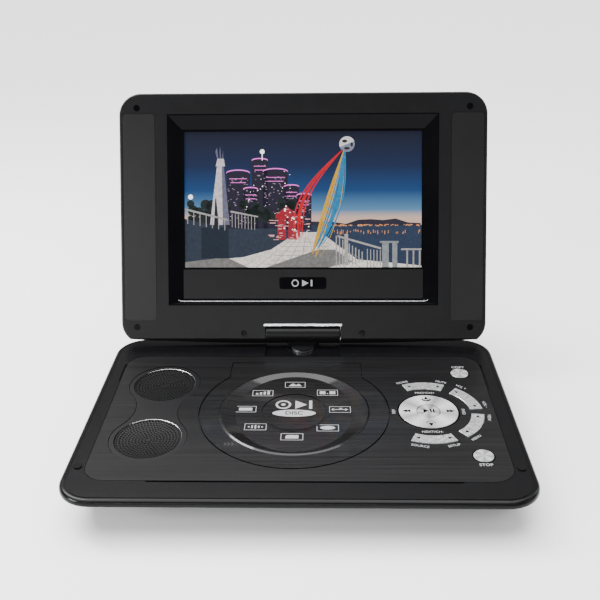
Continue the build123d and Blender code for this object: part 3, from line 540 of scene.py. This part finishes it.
def grille(name, cx, cy):
    """Dished sheet pierced by rings of round holes."""
    verts, faces = [], []

    def point(r, a, level):
        dish = GRILLE_DISH * (r / GRILLE_R) ** 2
        return mm(cx + r * math.cos(a), cy + r * math.sin(a), GRILLE_EDGE - GRILLE_DISH + dish - level)

    def both(points):
        """Index of the first of the points on the top; the same ones below follow."""
        base = len(verts)
        for level in (0.0, GRILLE_T):
            verts.extend(point(r, a, level) for r, a in points)
        return base

    rings = int(GRILLE_R / HOLE_PITCH)
    pitch = GRILLE_R / (rings + 0.5)
    base = both([(pitch / 2, 2 * math.pi * i / 12) for i in range(12)])
    faces.append([base + i for i in range(12)])
    for ring in range(1, rings + 1):
        middle = ring * pitch
        count = max(6, round(2 * math.pi * middle / pitch))
        half = math.pi / count
        for k in range(count):
            a0 = 2 * math.pi * k / count
            cell, hole = [], []
            for dr, da in EIGHT:
                reach = HOLE_R / math.hypot(dr, da)
                cell.append((middle + dr * pitch / 2, a0 + da * half))
                hole.append((middle + reach * dr, a0 + reach * da / middle))
            outer, inner, n = both(cell), both(hole), len(EIGHT)
            for i in range(n):
                j = (i + 1) % n
                faces.append([outer + i, outer + j, inner + j, inner + i])
                faces.append([inner + i, inner + j, inner + n + j, inner + n + i])
    return piece(name, verts, faces, "grille_black", "base", "grille_black")


def bead(name, cx, cy, steps=60, sides=8):
    """Grey metal bead along an arc, thickest half way: a painted highlight on the edge of a speaker opening.
    """
    verts, faces = [], []
    for i in range(steps + 1):
        t = i / steps
        a = math.radians(BEAD_START + (BEAD_STOP - BEAD_START) * t)
        r = BEAD_THIN + BEAD_SWELL * math.sin(math.pi * t)
        for k in range(sides):
            b = 2 * math.pi * k / sides
            out = BEAD_R + r * math.cos(b)
            verts.append(mm(cx + out * math.cos(a), cy + out * math.sin(a), BEAD_Z + r * math.sin(b)))
        if i:
            near, far = (i - 1) * sides, i * sides
            for k in range(sides):
                m = (k + 1) % sides
                faces.append([near + k, far + k, far + m, near + m])
    faces += [list(range(sides)), [len(verts) - 1 - k for k in range(sides)]]
    piece(name, verts, faces, "ridge_polish", "base", "gloss_black", smooth=True)


def add_grilles():
    meshes = [grille("grille_" + name, *middle) for name, middle in speakers().items()]
    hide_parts("speaker_grilles")
    # painted highlights: a grey metal bead along the rear edge of each speaker opening
    for name, middle in speakers().items():
        bead("highlight_bead_" + name, *middle)


# ---- printing on the disc door: each mark gives its outlines round a middle ----
def strip_mark(x, y):
    return [rect(x, y, 9.5, 3.6)]


def bars_mark(x, y):
    return [rect(x - 4.2 + 2.8 * k, y - 0.9 + 0.45 * k, 1.7, 2.2 + 0.9 * k) for k in range(4)]


def landscape_mark(x, y):
    return [[(x - 5, y - 2), (x + 5, y - 2), (x + 2.6, y + 1.6), (x + 0.6, y - 0.4), (x - 1.8, y + 2.0)]]


def boxes_mark(x, y):
    return [rect(x - 3.6, y, 4.2, 4.0), rect(x + 3.6, y, 4.2, 4.0), circle(x, y - 1.2, 0.6, 10)]


def plug_mark(x, y):
    point = [(x + 3.6, y - 1.4), (x + 6.0, y), (x + 3.6, y + 1.4)]
    return [rect(x - 0.6, y, 9.0, 0.8), point, circle(x - 4.8, y, 1.2, 12), rect(x + 0.5, y + 1.5, 2.2, 1.0)]


def disc_mark(x, y):
    return [circle(x, y + 0.2, 5.2, 22, 2.2)]


def card_mark(x, y):
    return [[(x - 4.4, y - 2), (x + 4.4, y - 2), (x + 4.4, y + 2), (x - 3.0, y + 2), (x - 4.4, y + 0.8)]]


def sound_mark(x, y):
    return [rect(x - 4.6 + 2.3 * k, y, 1.1, tall) for k, tall in enumerate((1.4, 3.4, 4.2, 2.6, 1.2))]


ICONS = [  # middle of each framed mark on the door, clockwise from the left
    (-39.2, -0.2, strip_mark), (-28.2, 21.2, bars_mark), (-4.7, 33.0, landscape_mark),
    (19.3, 22.0, boxes_mark), (28.0, -0.4, plug_mark), (19.1, -23.4, disc_mark),
    (-5.2, -34.0, card_mark), (-30.7, -22.3, sound_mark),
]
FRAME_W, FRAME_H, FRAME_LINE = 15.2, 7.8, 0.4


def add_icons():
    sheet = Print(deck_plane(DISH))
    for x, y, mark in ICONS:
        inside = rect(x, y, FRAME_W - 2 * FRAME_LINE, FRAME_H - 2 * FRAME_LINE)
        sheet.band(rect(x, y, FRAME_W, FRAME_H), inside)
        sheet.poly(*mark(x, y))
    sheet.done("door_icons", "print_white", "disc_door", "key_silver")


def add_door_mark():
    """Disc, arrow and bar over an ellipse with a generic word, in the middle of the door."""
    x, y = plan("disc_hub")
    low, high = y - 1.8, y + 9.2
    mark = Print(deck_plane(DISH))
    mark.poly(circle(x, low, 15.4, 40, 4.4))
    mark.band(circle(x - 8.0, high, 5.6, 32), circle(x - 8.0, high, 4.0, 32))
    mark.poly(circle(x - 8.0, high, 1.6, 16))
    mark.poly([(x + 0.6, high - 5.4), (x + 9.0, high), (x + 0.6, high + 5.4)])
    mark.poly(rect(x + 11.6, high, 2.2, 10.8))
    mark.done("door_mark", "print_white", "disc_door", "key_silver")
    above = deck_plane(DISH + mm(0.02))
    lettering("door_mark_word", "DISC", above, (x, low), 6.0, 0.1,
              paint="socket_black", body="disc_door")


def add_lift_hint():
    """Three faint chevrons at the front left of the door."""
    hint = Print(deck_plane(DECK))
    y = -44.3
    for x in (-50.4, -48.0, -45.6):
        left = [(x, y - 1.6), (x + 1.2, y), (x, y + 1.6)]
        right = [(x + 0.7, y + 1.6), (x + 1.9, y), (x + 0.7, y - 1.6)]
        hint.poly(left + right)
    hint.done("door_lift_hint", "print_grey", "disc_door", "case_black")


# ---- printing round the keys and on them ----
LEGENDS = [  # words, degrees round the navigation ring, distance from its middle, turn of the words
    ("MODE", 111, 42.0, 21), ("MUTE", 71, 42.2, -19), ("VOL +", 50, 43.0, -40), ("VOL -", 13, 42.2, -77),
    ("VIEW", -10, 41.8, -100), ("MENU", -48, 42.4, 42), ("SETUP", -73, 42.2, 17), ("SOURCE", -104, 42.2, -14),
    ("PREV/CH+", 90, 24.6, 0), ("NEXT/CH-", -90, 24.8, 0), ("REV", 180, 24.4, 90), ("FWD", 0, 24.4, -90),
]
ROUND_KEYS = {"COPY": ("key_copy", 9.4), "STOP": ("key_stop", -9.4)}  # word: key, and the word's distance
ARC_KEYS = {"key_mode_mute": 90.0, "key_volume": 29.5, "key_menu": -29.5, "key_source_setup": -90.0}
ARC_MARK_R, ARC_MARK_TURN = 34.1, 18.0  # arrowheads on a curved key: radius, and degrees from its middle


def add_legends():
    plane, ring = deck_plane(DECK), plan("nav_ring")
    for words, angle, r, turn in LEGENDS:
        name = "legend_" + words.replace(" +", "_up").replace(" -", "_down").split("/")[0].lower()
        lettering(name, words, plane, around(ring, r, angle), 3.2, 0.03, turn)
    # painted shade: near-black bands on the deck round the navigation ring and the round keys, in the
    # clearance that lies in shade
    painted_gap_shade = Print(plane, 0.015)
    painted_gap_shade.band(circle(*ring, 21.9, 64), circle(*ring, 20.85, 64))
    for node, _ in ROUND_KEYS.values():
        painted_gap_shade.band(circle(*plan(node), 7.5), circle(*plan(node), 6.7))
    painted_gap_shade.done("key_gap_shadows", "gap_shade_and_mark_black", "base", "socket_black")
    for words, (node, away) in ROUND_KEYS.items():
        x, y = plan(node)
        lettering("legend_" + words.lower(), words, plane, (x, y + away), 3.7, 0.06)


def add_arc_key_marks():
    """An arrowhead at each end of the curved two-way keys."""
    for node, middle in ARC_KEYS.items():
        marks = Print(deck_plane(KEY_TOP))
        for side in (-1, 1):
            degrees = middle + side * ARC_MARK_TURN
            heading = math.radians(degrees) + side * math.pi / 2
            marks.poly(arrowhead(*around(plan("nav_ring"), ARC_MARK_R, degrees), 1.7, heading, 2.2))
        marks.done(node + "_marks", "gap_shade_and_mark_black", node, "socket_black")


def add_ring_marks():
    """Arrowheads on the navigation ring: doubled left and right, by a curved line up and down."""
    ring = plan("nav_ring")
    marks = Print(deck_plane(KEY_TOP))
    for angle, radii in ((0, (16.6, 14.2)), (90, (16.6,)), (180, (16.6, 14.2)), (270, (16.6,))):
        for r in radii:
            marks.poly(arrowhead(*around(ring, r, angle), 2.3, math.radians(angle), 2.3))
    for side, inner_y in ((-1, -14.8), (1, 16.0)):
        outer = circle(ring[0], ring[1] + side * 15.4, 3.4, 16, -side * 3.0, 0, 180)
        inner = circle(ring[0], ring[1] + inner_y, 2.6, 16, -side * 2.1, 0, 180)
        for k in range(len(outer) - 1):
            quad = [outer[k], outer[k + 1], inner[k + 1], inner[k]]
            marks.poly(quad if side < 0 else quad[::-1])
    marks.done("nav_marks", "gap_shade_and_mark_black", "nav_ring", "socket_black")


def add_play_marks():
    x, y = plan("nav_ring")
    play = Print(deck_plane(top("play_key")))
    play.poly([(x - 3.6, y - 2.4), (x + 0.2, y), (x - 3.6, y + 2.4)])
    play.poly(rect(x + 1.6, y, 1.1, 4.6), rect(x + 3.6, y, 1.1, 4.6))
    play.done("play_marks", "gap_shade_and_mark_black", "play_key", "socket_black")


# ---- what the screen shows: a night waterfront, drawn in millimetres in the lid's frame ----
LEFT, RIGHT, BOTTOM, TOP = -95.4, 95.4, 61.6, 170.6
SCREEN_DEPTH = 4.62  # the sheets start in front of this depth, LAYER_STEP apart
LAYER_STEP, LAYER_THICK = 0.012, 0.004
SKY = [  # part of the way up the picture, and colour
    (0.0, (0.9, 0.62, 0.42)), (0.35, (0.80, 0.55, 0.44)), (0.41, (0.10, 0.28, 0.50)),
    (0.56, (0.0, 0.055, 0.20)), (0.75, (0.0, 0.013, 0.065)), (1.0, (0.0, 0.002, 0.016)),
]
TOWERS = [  # x, half width, top
    (-52, 9.5, 137), (-34.5, 6.5, 147), (-22, 10, 138), (-42, 6, 124), (-9, 6, 126), (1, 6, 119),
]
BALL = (35.5, 160.2)
TRAILS = [  # name, colour, start of the trail, how far it bends, and how far its strands spread
    ("red", (1.0, 0.015, 0.025), (-4, 84), -16, 7.0),
    ("gold", (1.3, 0.55, 0.02), (9, 72), -1, 5.0),
    ("blue", (0.02, 0.30, 0.62), (13, 72), 5, 4.0),
]
TRAIL_END, TRAIL_STEPS = (34, 158), 18


def glow(name, strength, stops, upward=False):
    """Lit picture colour through the stops, by noise or up the height of the screen."""
    s = Shader(name, (0.01, 0.01, 0.012), 0.12, specular=0.12)
    s.put("Emission Strength", strength)
    if upward:
        split = s.nodes.new("ShaderNodeSeparateXYZ")
        scale = s.nodes.new("ShaderNodeMapRange")
        low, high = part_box("lcd_screen")
        scale.inputs["From Min"].default_value = low[2] + mm(6)
        scale.inputs["From Max"].default_value = high[2] - mm(3)
        s.links.new(s.coords, split.inputs["Vector"])
        s.links.new(split.outputs["Z"], scale.inputs["Value"])
        factor = scale.outputs["Result"]
    else:
        factor = s.noise(420.0, 4.0)
    s.links.new(s.ramp(factor, stops), s.main.inputs["Emission Color"])
    return s.mat


class Picture:
    """Lit sheets on the screen, each a hair in front of the last and clipped to the picture."""

    def __init__(self):
        self.count = 0

    def sheet(self, name, shapes, mat):
        self.count += 1
        plate = Print(lid_plane(SCREEN_DEPTH - LAYER_STEP * self.count), LAYER_THICK)
        for shape in shapes:
            plate.poly([(min(max(x, LEFT), RIGHT), min(max(y, BOTTOM), TOP)) for x, y in shape])
        plate.done("screen_" + name, mat, "lid", "screen_glass")

    def layer(self, name, shapes, colour, strength=1.0):
        stops = [(0.3, tuple(c * 0.75 for c in colour)), (0.7, tuple(min(1, c * 1.2) for c in colour))]
        self.sheet(name, shapes, glow("screen_" + name, strength, stops))


def draw_sky_and_water(picture, rng):
    whole = [(LEFT, BOTTOM), (RIGHT, BOTTOM), (RIGHT, TOP), (LEFT, TOP)]
    picture.sheet("sky", [whole], glow("screen_sky", 1.0, SKY, upward=True))
    ridge = [(LEFT + 10 * k, 99 + 1.6 * math.sin(k * 0.9) + 1.2 * math.sin(k * 2.3)) for k in range(20)]
    picture.layer("hills", [[(LEFT, 92), *ridge, (RIGHT, 92)]], (0.020, 0.016, 0.035))
    water = [(LEFT, BOTTOM), (RIGHT, BOTTOM), (RIGHT, 95.5), (LEFT, 95.5)]
    picture.layer("water", [water], (0.020, 0.040, 0.085))
    pick = rng.uniform
    shore = [rect(pick(20, 95), 95.4 + pick(-0.5, 0.7), pick(0.5, 1.5), pick(0.4, 0.9)) for _ in range(80)]
    shore += [rect(pick(25, 95), 91.5 - pick(0, 2.5), pick(0.3, 0.6), pick(0.8, 2.8)) for _ in range(40)]
    picture.layer("shore_lights", shore, (1.3, 0.42, 0.14))


def draw_towers(picture, rng):
    walls = [[(x - w, 92), (x + w, 92), *circle(x, h, w, 14, w * 0.22, 0, 180)] for x, w, h in TOWERS]
    picture.layer("towers", walls, (0.012, 0.008, 0.025))
    windows, crowns = [], []
    for x, w, h in TOWERS:
        for _ in range(int(w * 7)):
            at = (x + rng.uniform(-0.85, 0.85) * w, rng.uniform(97, h - 3))
            windows.append(rect(*at, rng.uniform(0.4, 1.5), rng.uniform(0.35, 0.8)))
        rim = circle(x, h, w, 14, w * 0.26, 180, 0)
        for a, b in zip(rim, rim[1:]):
            crowns.append([(b[0], b[1] + 0.9), (a[0], a[1] + 0.9), a, b])
        crowns += [rect(x, h - 4.0 - 3.1 * k, w * (1.5 - 0.2 * k), 0.5) for k in range(2)]
    picture.layer("windows", windows, (0.42, 0.30, 0.40))
    picture.layer("crowns", crowns, (1.6, 0.22, 1.1), 1.2)


def draw_trees_and_column(picture, rng):
    pick = rng.uniform
    trees = [circle(pick(-92, -60), pick(98, 113), pick(2, 5), 11) for _ in range(20)]
    trees += [circle(pick(-50, -6), pick(100, 114), pick(2, 5.0), 11) for _ in range(26)]
    picture.layer("trees", trees, (0.006, 0.014, 0.010))
    shaft = [(-75, 96), (-69, 143), (-63.5, 143), (-59, 96)]
    cup = [(-70, 143), (-68.6, 149), (-63.4, 149), (-62.5, 143)]
    picture.layer("column", [shaft, cup], (0.75, 0.70, 0.74))
    tops = [[(-67.2 + x, 149), (-67.8 + 1.5 * x, 154.5), (-67.0 + 1.2 * x, 159.5 - abs(x)), (-66.2 + x, 149)]
            for x in (-1.6, 0.6, 2.4)]
    shade = [(-64.5, 96), (-65.2, 143), (-63.5, 143), (-59, 96)]
    picture.layer("column_top", [*tops, shade], (0.16, 0.16, 0.24))


def draw_terrace(picture):
    """Wall and paved path in front of the water."""
    wall = [(LEFT, 66), (LEFT, 101), (-60, 93), (-18, 93), (-12, 80), (-40, 72)]
    picture.layer("wall", [wall], (0.022, 0.034, 0.056))
    path = [(LEFT, BOTTOM), (RIGHT, BOTTOM), (RIGHT, 63), (44, 68), (14, 90)]
    path += [(-4, 90), (-26, 76), (-48, 70), (LEFT, 66)]
    picture.layer("path", [path], (0.85, 0.78, 0.70), 1.2)
    joins = [[(x, BOTTOM), (x + 0.6, BOTTOM), (3 + x * 0.14, 89), (2.7 + x * 0.14, 89)]
             for x in range(-50, 70, 12)]
    joins += [rect(4 - 0.6 * k, 64 + 3.6 * k, 66 - 7 * k, 0.35) for k in range(6)]
    picture.layer("path_joints", joins, (0.36, 0.32, 0.29))
    dusk = [(-30, BOTTOM), (12, 76), (26, 76), (40, 66), (20, BOTTOM)]
    corner = [(LEFT, BOTTOM), (LEFT, 66), (-62, 70), (-44, BOTTOM)]
    picture.layer("path_shade", [dusk, corner], (0.22, 0.21, 0.20))


def draw_street_furniture(picture):
    picture.layer("plinth", [[(-82, 69), (-60, 69), (-60, 94), (-82, 94)]], (0.004, 0.014, 0.026))
    post = [(-71.8, 94), (-70.6, 117), (-69.8, 117), (-67.5, 94)]
    picture.layer("statue_shade", [post, rect(-76, 101, 1.0, 14)], (0.006, 0.008, 0.014))
    rails = [
        [(LEFT, 108), (LEFT, 109.6), (-60, 100.6), (-60, 99.2)],
        [(-58, 106), (-58, 107.5), (-36, 103), (-36, 102)],
    ]
    rails += [rect(-93 + 5 * k, 102 - 0.9 * k, 0.6, 10) for k in range(7)]
    rails += [rect(-57 + 2.6 * k, 99.5 - 0.3 * k, 0.5, 11) for k in range(8)]
    rails.append([(28, 86), (28, 87.6), (63, 77.6), (63, 76.0)])
    rails.append([(79, 75.4), (79, 76.8), (RIGHT, 76.8), (RIGHT, 75.4)])
    rails += [rect(27 + 2.6 * k, 74.6 - 0.6 * k, 0.9, 25 - 2.0 * k) for k in range(9)]
    rails.append(rect(35, 76, 3.0, 25))
    rails += [rect(52 + 2.6 * k, 69, 0.7, 15 - 0.6 * k) for k in range(5)]
    rails += [rect(84 + 5 * k, 68.5, 1.3, 13) for k in range(3)]
    picture.layer("railings", rails, (0.46, 0.44, 0.42))
    bollard = [rect(66.5, 71.5, 5.4, 20), rect(74.0, 71.5, 4.0, 20), rect(69.5, 82.0, 15, 1.6)]
    picture.layer("bollard", bollard, (0.30, 0.32, 0.34))
    roof = [(-22, 104), (-13, 111), (-3, 103), (-3, 100), (-22, 101)]
    picture.layer("kiosk", [rect(-17, 94, 7, 20), rect(-8.5, 92, 6.5, 16), roof], (0.42, 0.015, 0.03))


def ribbon(points, widths):
    """Four-sided strips along the points, tapering between the half widths."""
    strips = []
    for (ax, ay), (bx, by), wa, wb in zip(points, points[1:], widths, widths[1:]):
        length = math.hypot(bx - ax, by - ay)
        nx, ny = (ay - by) / length, (bx - ax) / length
        strips.append([(ax + nx * wa, ay + ny * wa), (ax - nx * wa, ay - ny * wa),
                       (bx - nx * wb, by - ny * wb), (bx + nx * wb, by + ny * wb)])
    return strips


def trail(x_start, y_start, bend, wide):
    """Curved light trail from a spot on the path up to the ball."""
    points, widths = [], []
    for k in range(TRAIL_STEPS + 1):
        t = k / TRAIL_STEPS
        x = x_start + (TRAIL_END[0] - x_start) * t + bend * math.sin(math.pi * t)
        y = y_start + (TRAIL_END[1] - y_start) * t ** 1.15
        points.append((x, y))
        widths.append(wide * (0.25 + 0.75 * math.sin(math.pi * min(1.0, 0.12 + t * 0.8))))
    return ribbon(points, widths)


def draw_trails(picture, rng):
    pick = rng.uniform
    streaks = [rect(pick(-26, 6), pick(84, 110), pick(1.0, 5), pick(0.3, 0.8)) for _ in range(44)]
    picture.layer("streaks", streaks, (1.3, 0.50, 0.50))
    for name, colour, (x, y), bend, spread in TRAILS:
        strands = []
        for _ in range(8):
            shift = rng.gauss(0, 0.45) * spread
            strands += trail(x + shift * 0.8, y + pick(-3, 9), bend + shift, pick(0.2, 0.9))
        picture.layer("trail_" + name, strands, colour, 0.85)


def draw_lamps_and_ball(picture, rng):
    pick = rng.uniform
    lamps = [circle(-90.5, 118.5, 2.0, 18), circle(-32.5, 154.5, 1.9, 14), rect(-32.5, 151, 0.6, 7)]
    lamps += [circle(pick(-24, 6), pick(90, 112), pick(0.3, 0.8), 9) for _ in range(16)]
    lamps += [circle(pick(-50, -10), pick(105, 140), pick(0.2, 0.5), 7) for _ in range(20)]
    picture.layer("lamps", lamps, (2.2, 1.9, 1.9), 1.6)
    picture.layer("ball", [circle(*BALL, 6.2, 36)], (0.95, 0.97, 1.0))
    picture.layer("ball_shade", [circle(*BALL, 6.2, 18, start=200, stop=380)], (0.24, 0.27, 0.36))
    patches = [circle(33.6, 162.6, 2.2, 12, 1.3), circle(39.3, 160.0, 1.0, 12, 1.9)]
    patches.append(circle(35.4, 156.9, 2.4, 12, 1.1))
    picture.layer("ball_patches", patches, (0.03, 0.012, 0.016))


def add_picture():
    picture, rng = Picture(), random.Random(7)
    draw_sky_and_water(picture, rng)
    draw_towers(picture, rng)
    draw_trees_and_column(picture, rng)
    draw_terrace(picture)
    draw_street_furniture(picture)
    draw_trails(picture, rng)
    draw_lamps_and_ball(picture, rng)


# ---- the strip under the picture, and polished edges of the lid ----
CHIN_V, CHIN_W, CHIN_H = 48.3, 193.0, 23.6  # middle up the lid, width and height of the apron
CHIN_DEPTH = 3.58  # its face, behind the lid's
PATCH_DEPTH, MARK_DEPTH, MARK_V = 3.28, 3.24, 49.0  # the patch on it, the mark on that, and their middle
# left end of the ridge: across, depth and height of each point; the right end mirrors it
RIDGE_END = [(-101.5, 2.6, 38.0), (-101.2, 2.7, 36.2), (-100.0, 2.8, 34.9), (-98.2, 2.85, 34.4)]
RIDGE_DEPTH, RIDGE_V, RIDGE_R = 2.9, 34.3, 0.42
TOP_DEPTH, TOP_V, TOP_R = 0.35, 183.0, 0.22


def tube(points, r, sides=8):
    """Verts and faces of a round bead along a path in the lid's own frame, in millimetres."""
    verts, faces = [], []
    facing = Vector((0, -1, 0))
    for i, point in enumerate(points):
        behind, ahead = points[max(i - 1, 0)], points[min(i + 1, len(points) - 1)]
        side = (Vector(ahead) - Vector(behind)).cross(facing).normalized()
        for k in range(sides):
            a = 2 * math.pi * k / sides
            spot = Vector(point) + r * (math.cos(a) * side + math.sin(a) * facing)
            verts.append(LID @ Vector(mm(*spot)))
        if i:
            near, far = (i - 1) * sides, i * sides
            for k in range(sides):
                m = (k + 1) % sides
                faces.append([near + k, near + m, far + m, far + k])
    faces += [list(range(sides))[::-1], [len(verts) - sides + k for k in range(sides)]]
    return verts, faces


def add_chin():
    """Satin apron under the picture, and grey metal beads as painted highlights on the glossy ridges that
    close the window below and above.
    """
    apron = Print(lid_plane(CHIN_DEPTH), 0.28)
    apron.poly(rect(0, CHIN_V, CHIN_W, CHIN_H, 0.8))
    apron.done("chin_apron", "case_black", "lid", "case_black")
    # painted highlight: a grey metal bead along the glossy ridge under the picture
    ridge = RIDGE_END + [(x, RIDGE_DEPTH, RIDGE_V) for x in range(-96, 97, 16)]
    ridge += [(-x, w, v) for x, w, v in RIDGE_END[::-1]]
    piece("chin_ridge_highlight", *tube(ridge, RIDGE_R), "ridge_polish", "lid", "gloss_black", smooth=True)
    # painted highlight: a thin grey metal bead along the top edge of the window
    line = [(x, TOP_DEPTH, TOP_V) for x in range(-105, 106, 15)]
    piece("window_top_highlight", *tube(line, TOP_R), "ridge_polish", "lid", "gloss_black", smooth=True)


def add_chin_mark():
    """Small gloss patch under the picture with a generic disc mark."""
    patch = Print(lid_plane(PATCH_DEPTH))
    patch.poly(rect(0, MARK_V, 38.0, 9.6, 2.0))
    patch.done("chin_patch", "gloss_black", "lid", "gloss_black")
    mark = Print(lid_plane(MARK_DEPTH))
    mark.band(circle(-6.2, MARK_V, 2.9, 28), circle(-6.2, MARK_V, 2.0, 28))
    mark.poly([(-0.6, MARK_V - 2.6), (4.6, MARK_V), (-0.6, MARK_V + 2.6)], rect(7.0, MARK_V, 1.3, 5.2))
    mark.done("chin_mark", "print_white", "lid", "key_silver")


add_camera()
add_world()
for lamp_values in LAMPS:
    add_lamp(*lamp_values)
add_floor()
paint_frame()
add_grilles()
add_icons()
add_door_mark()
add_lift_hint()
add_legends()
add_arc_key_marks()
add_ring_marks()
add_play_marks()
add_picture()
add_chin()
add_chin_mark()
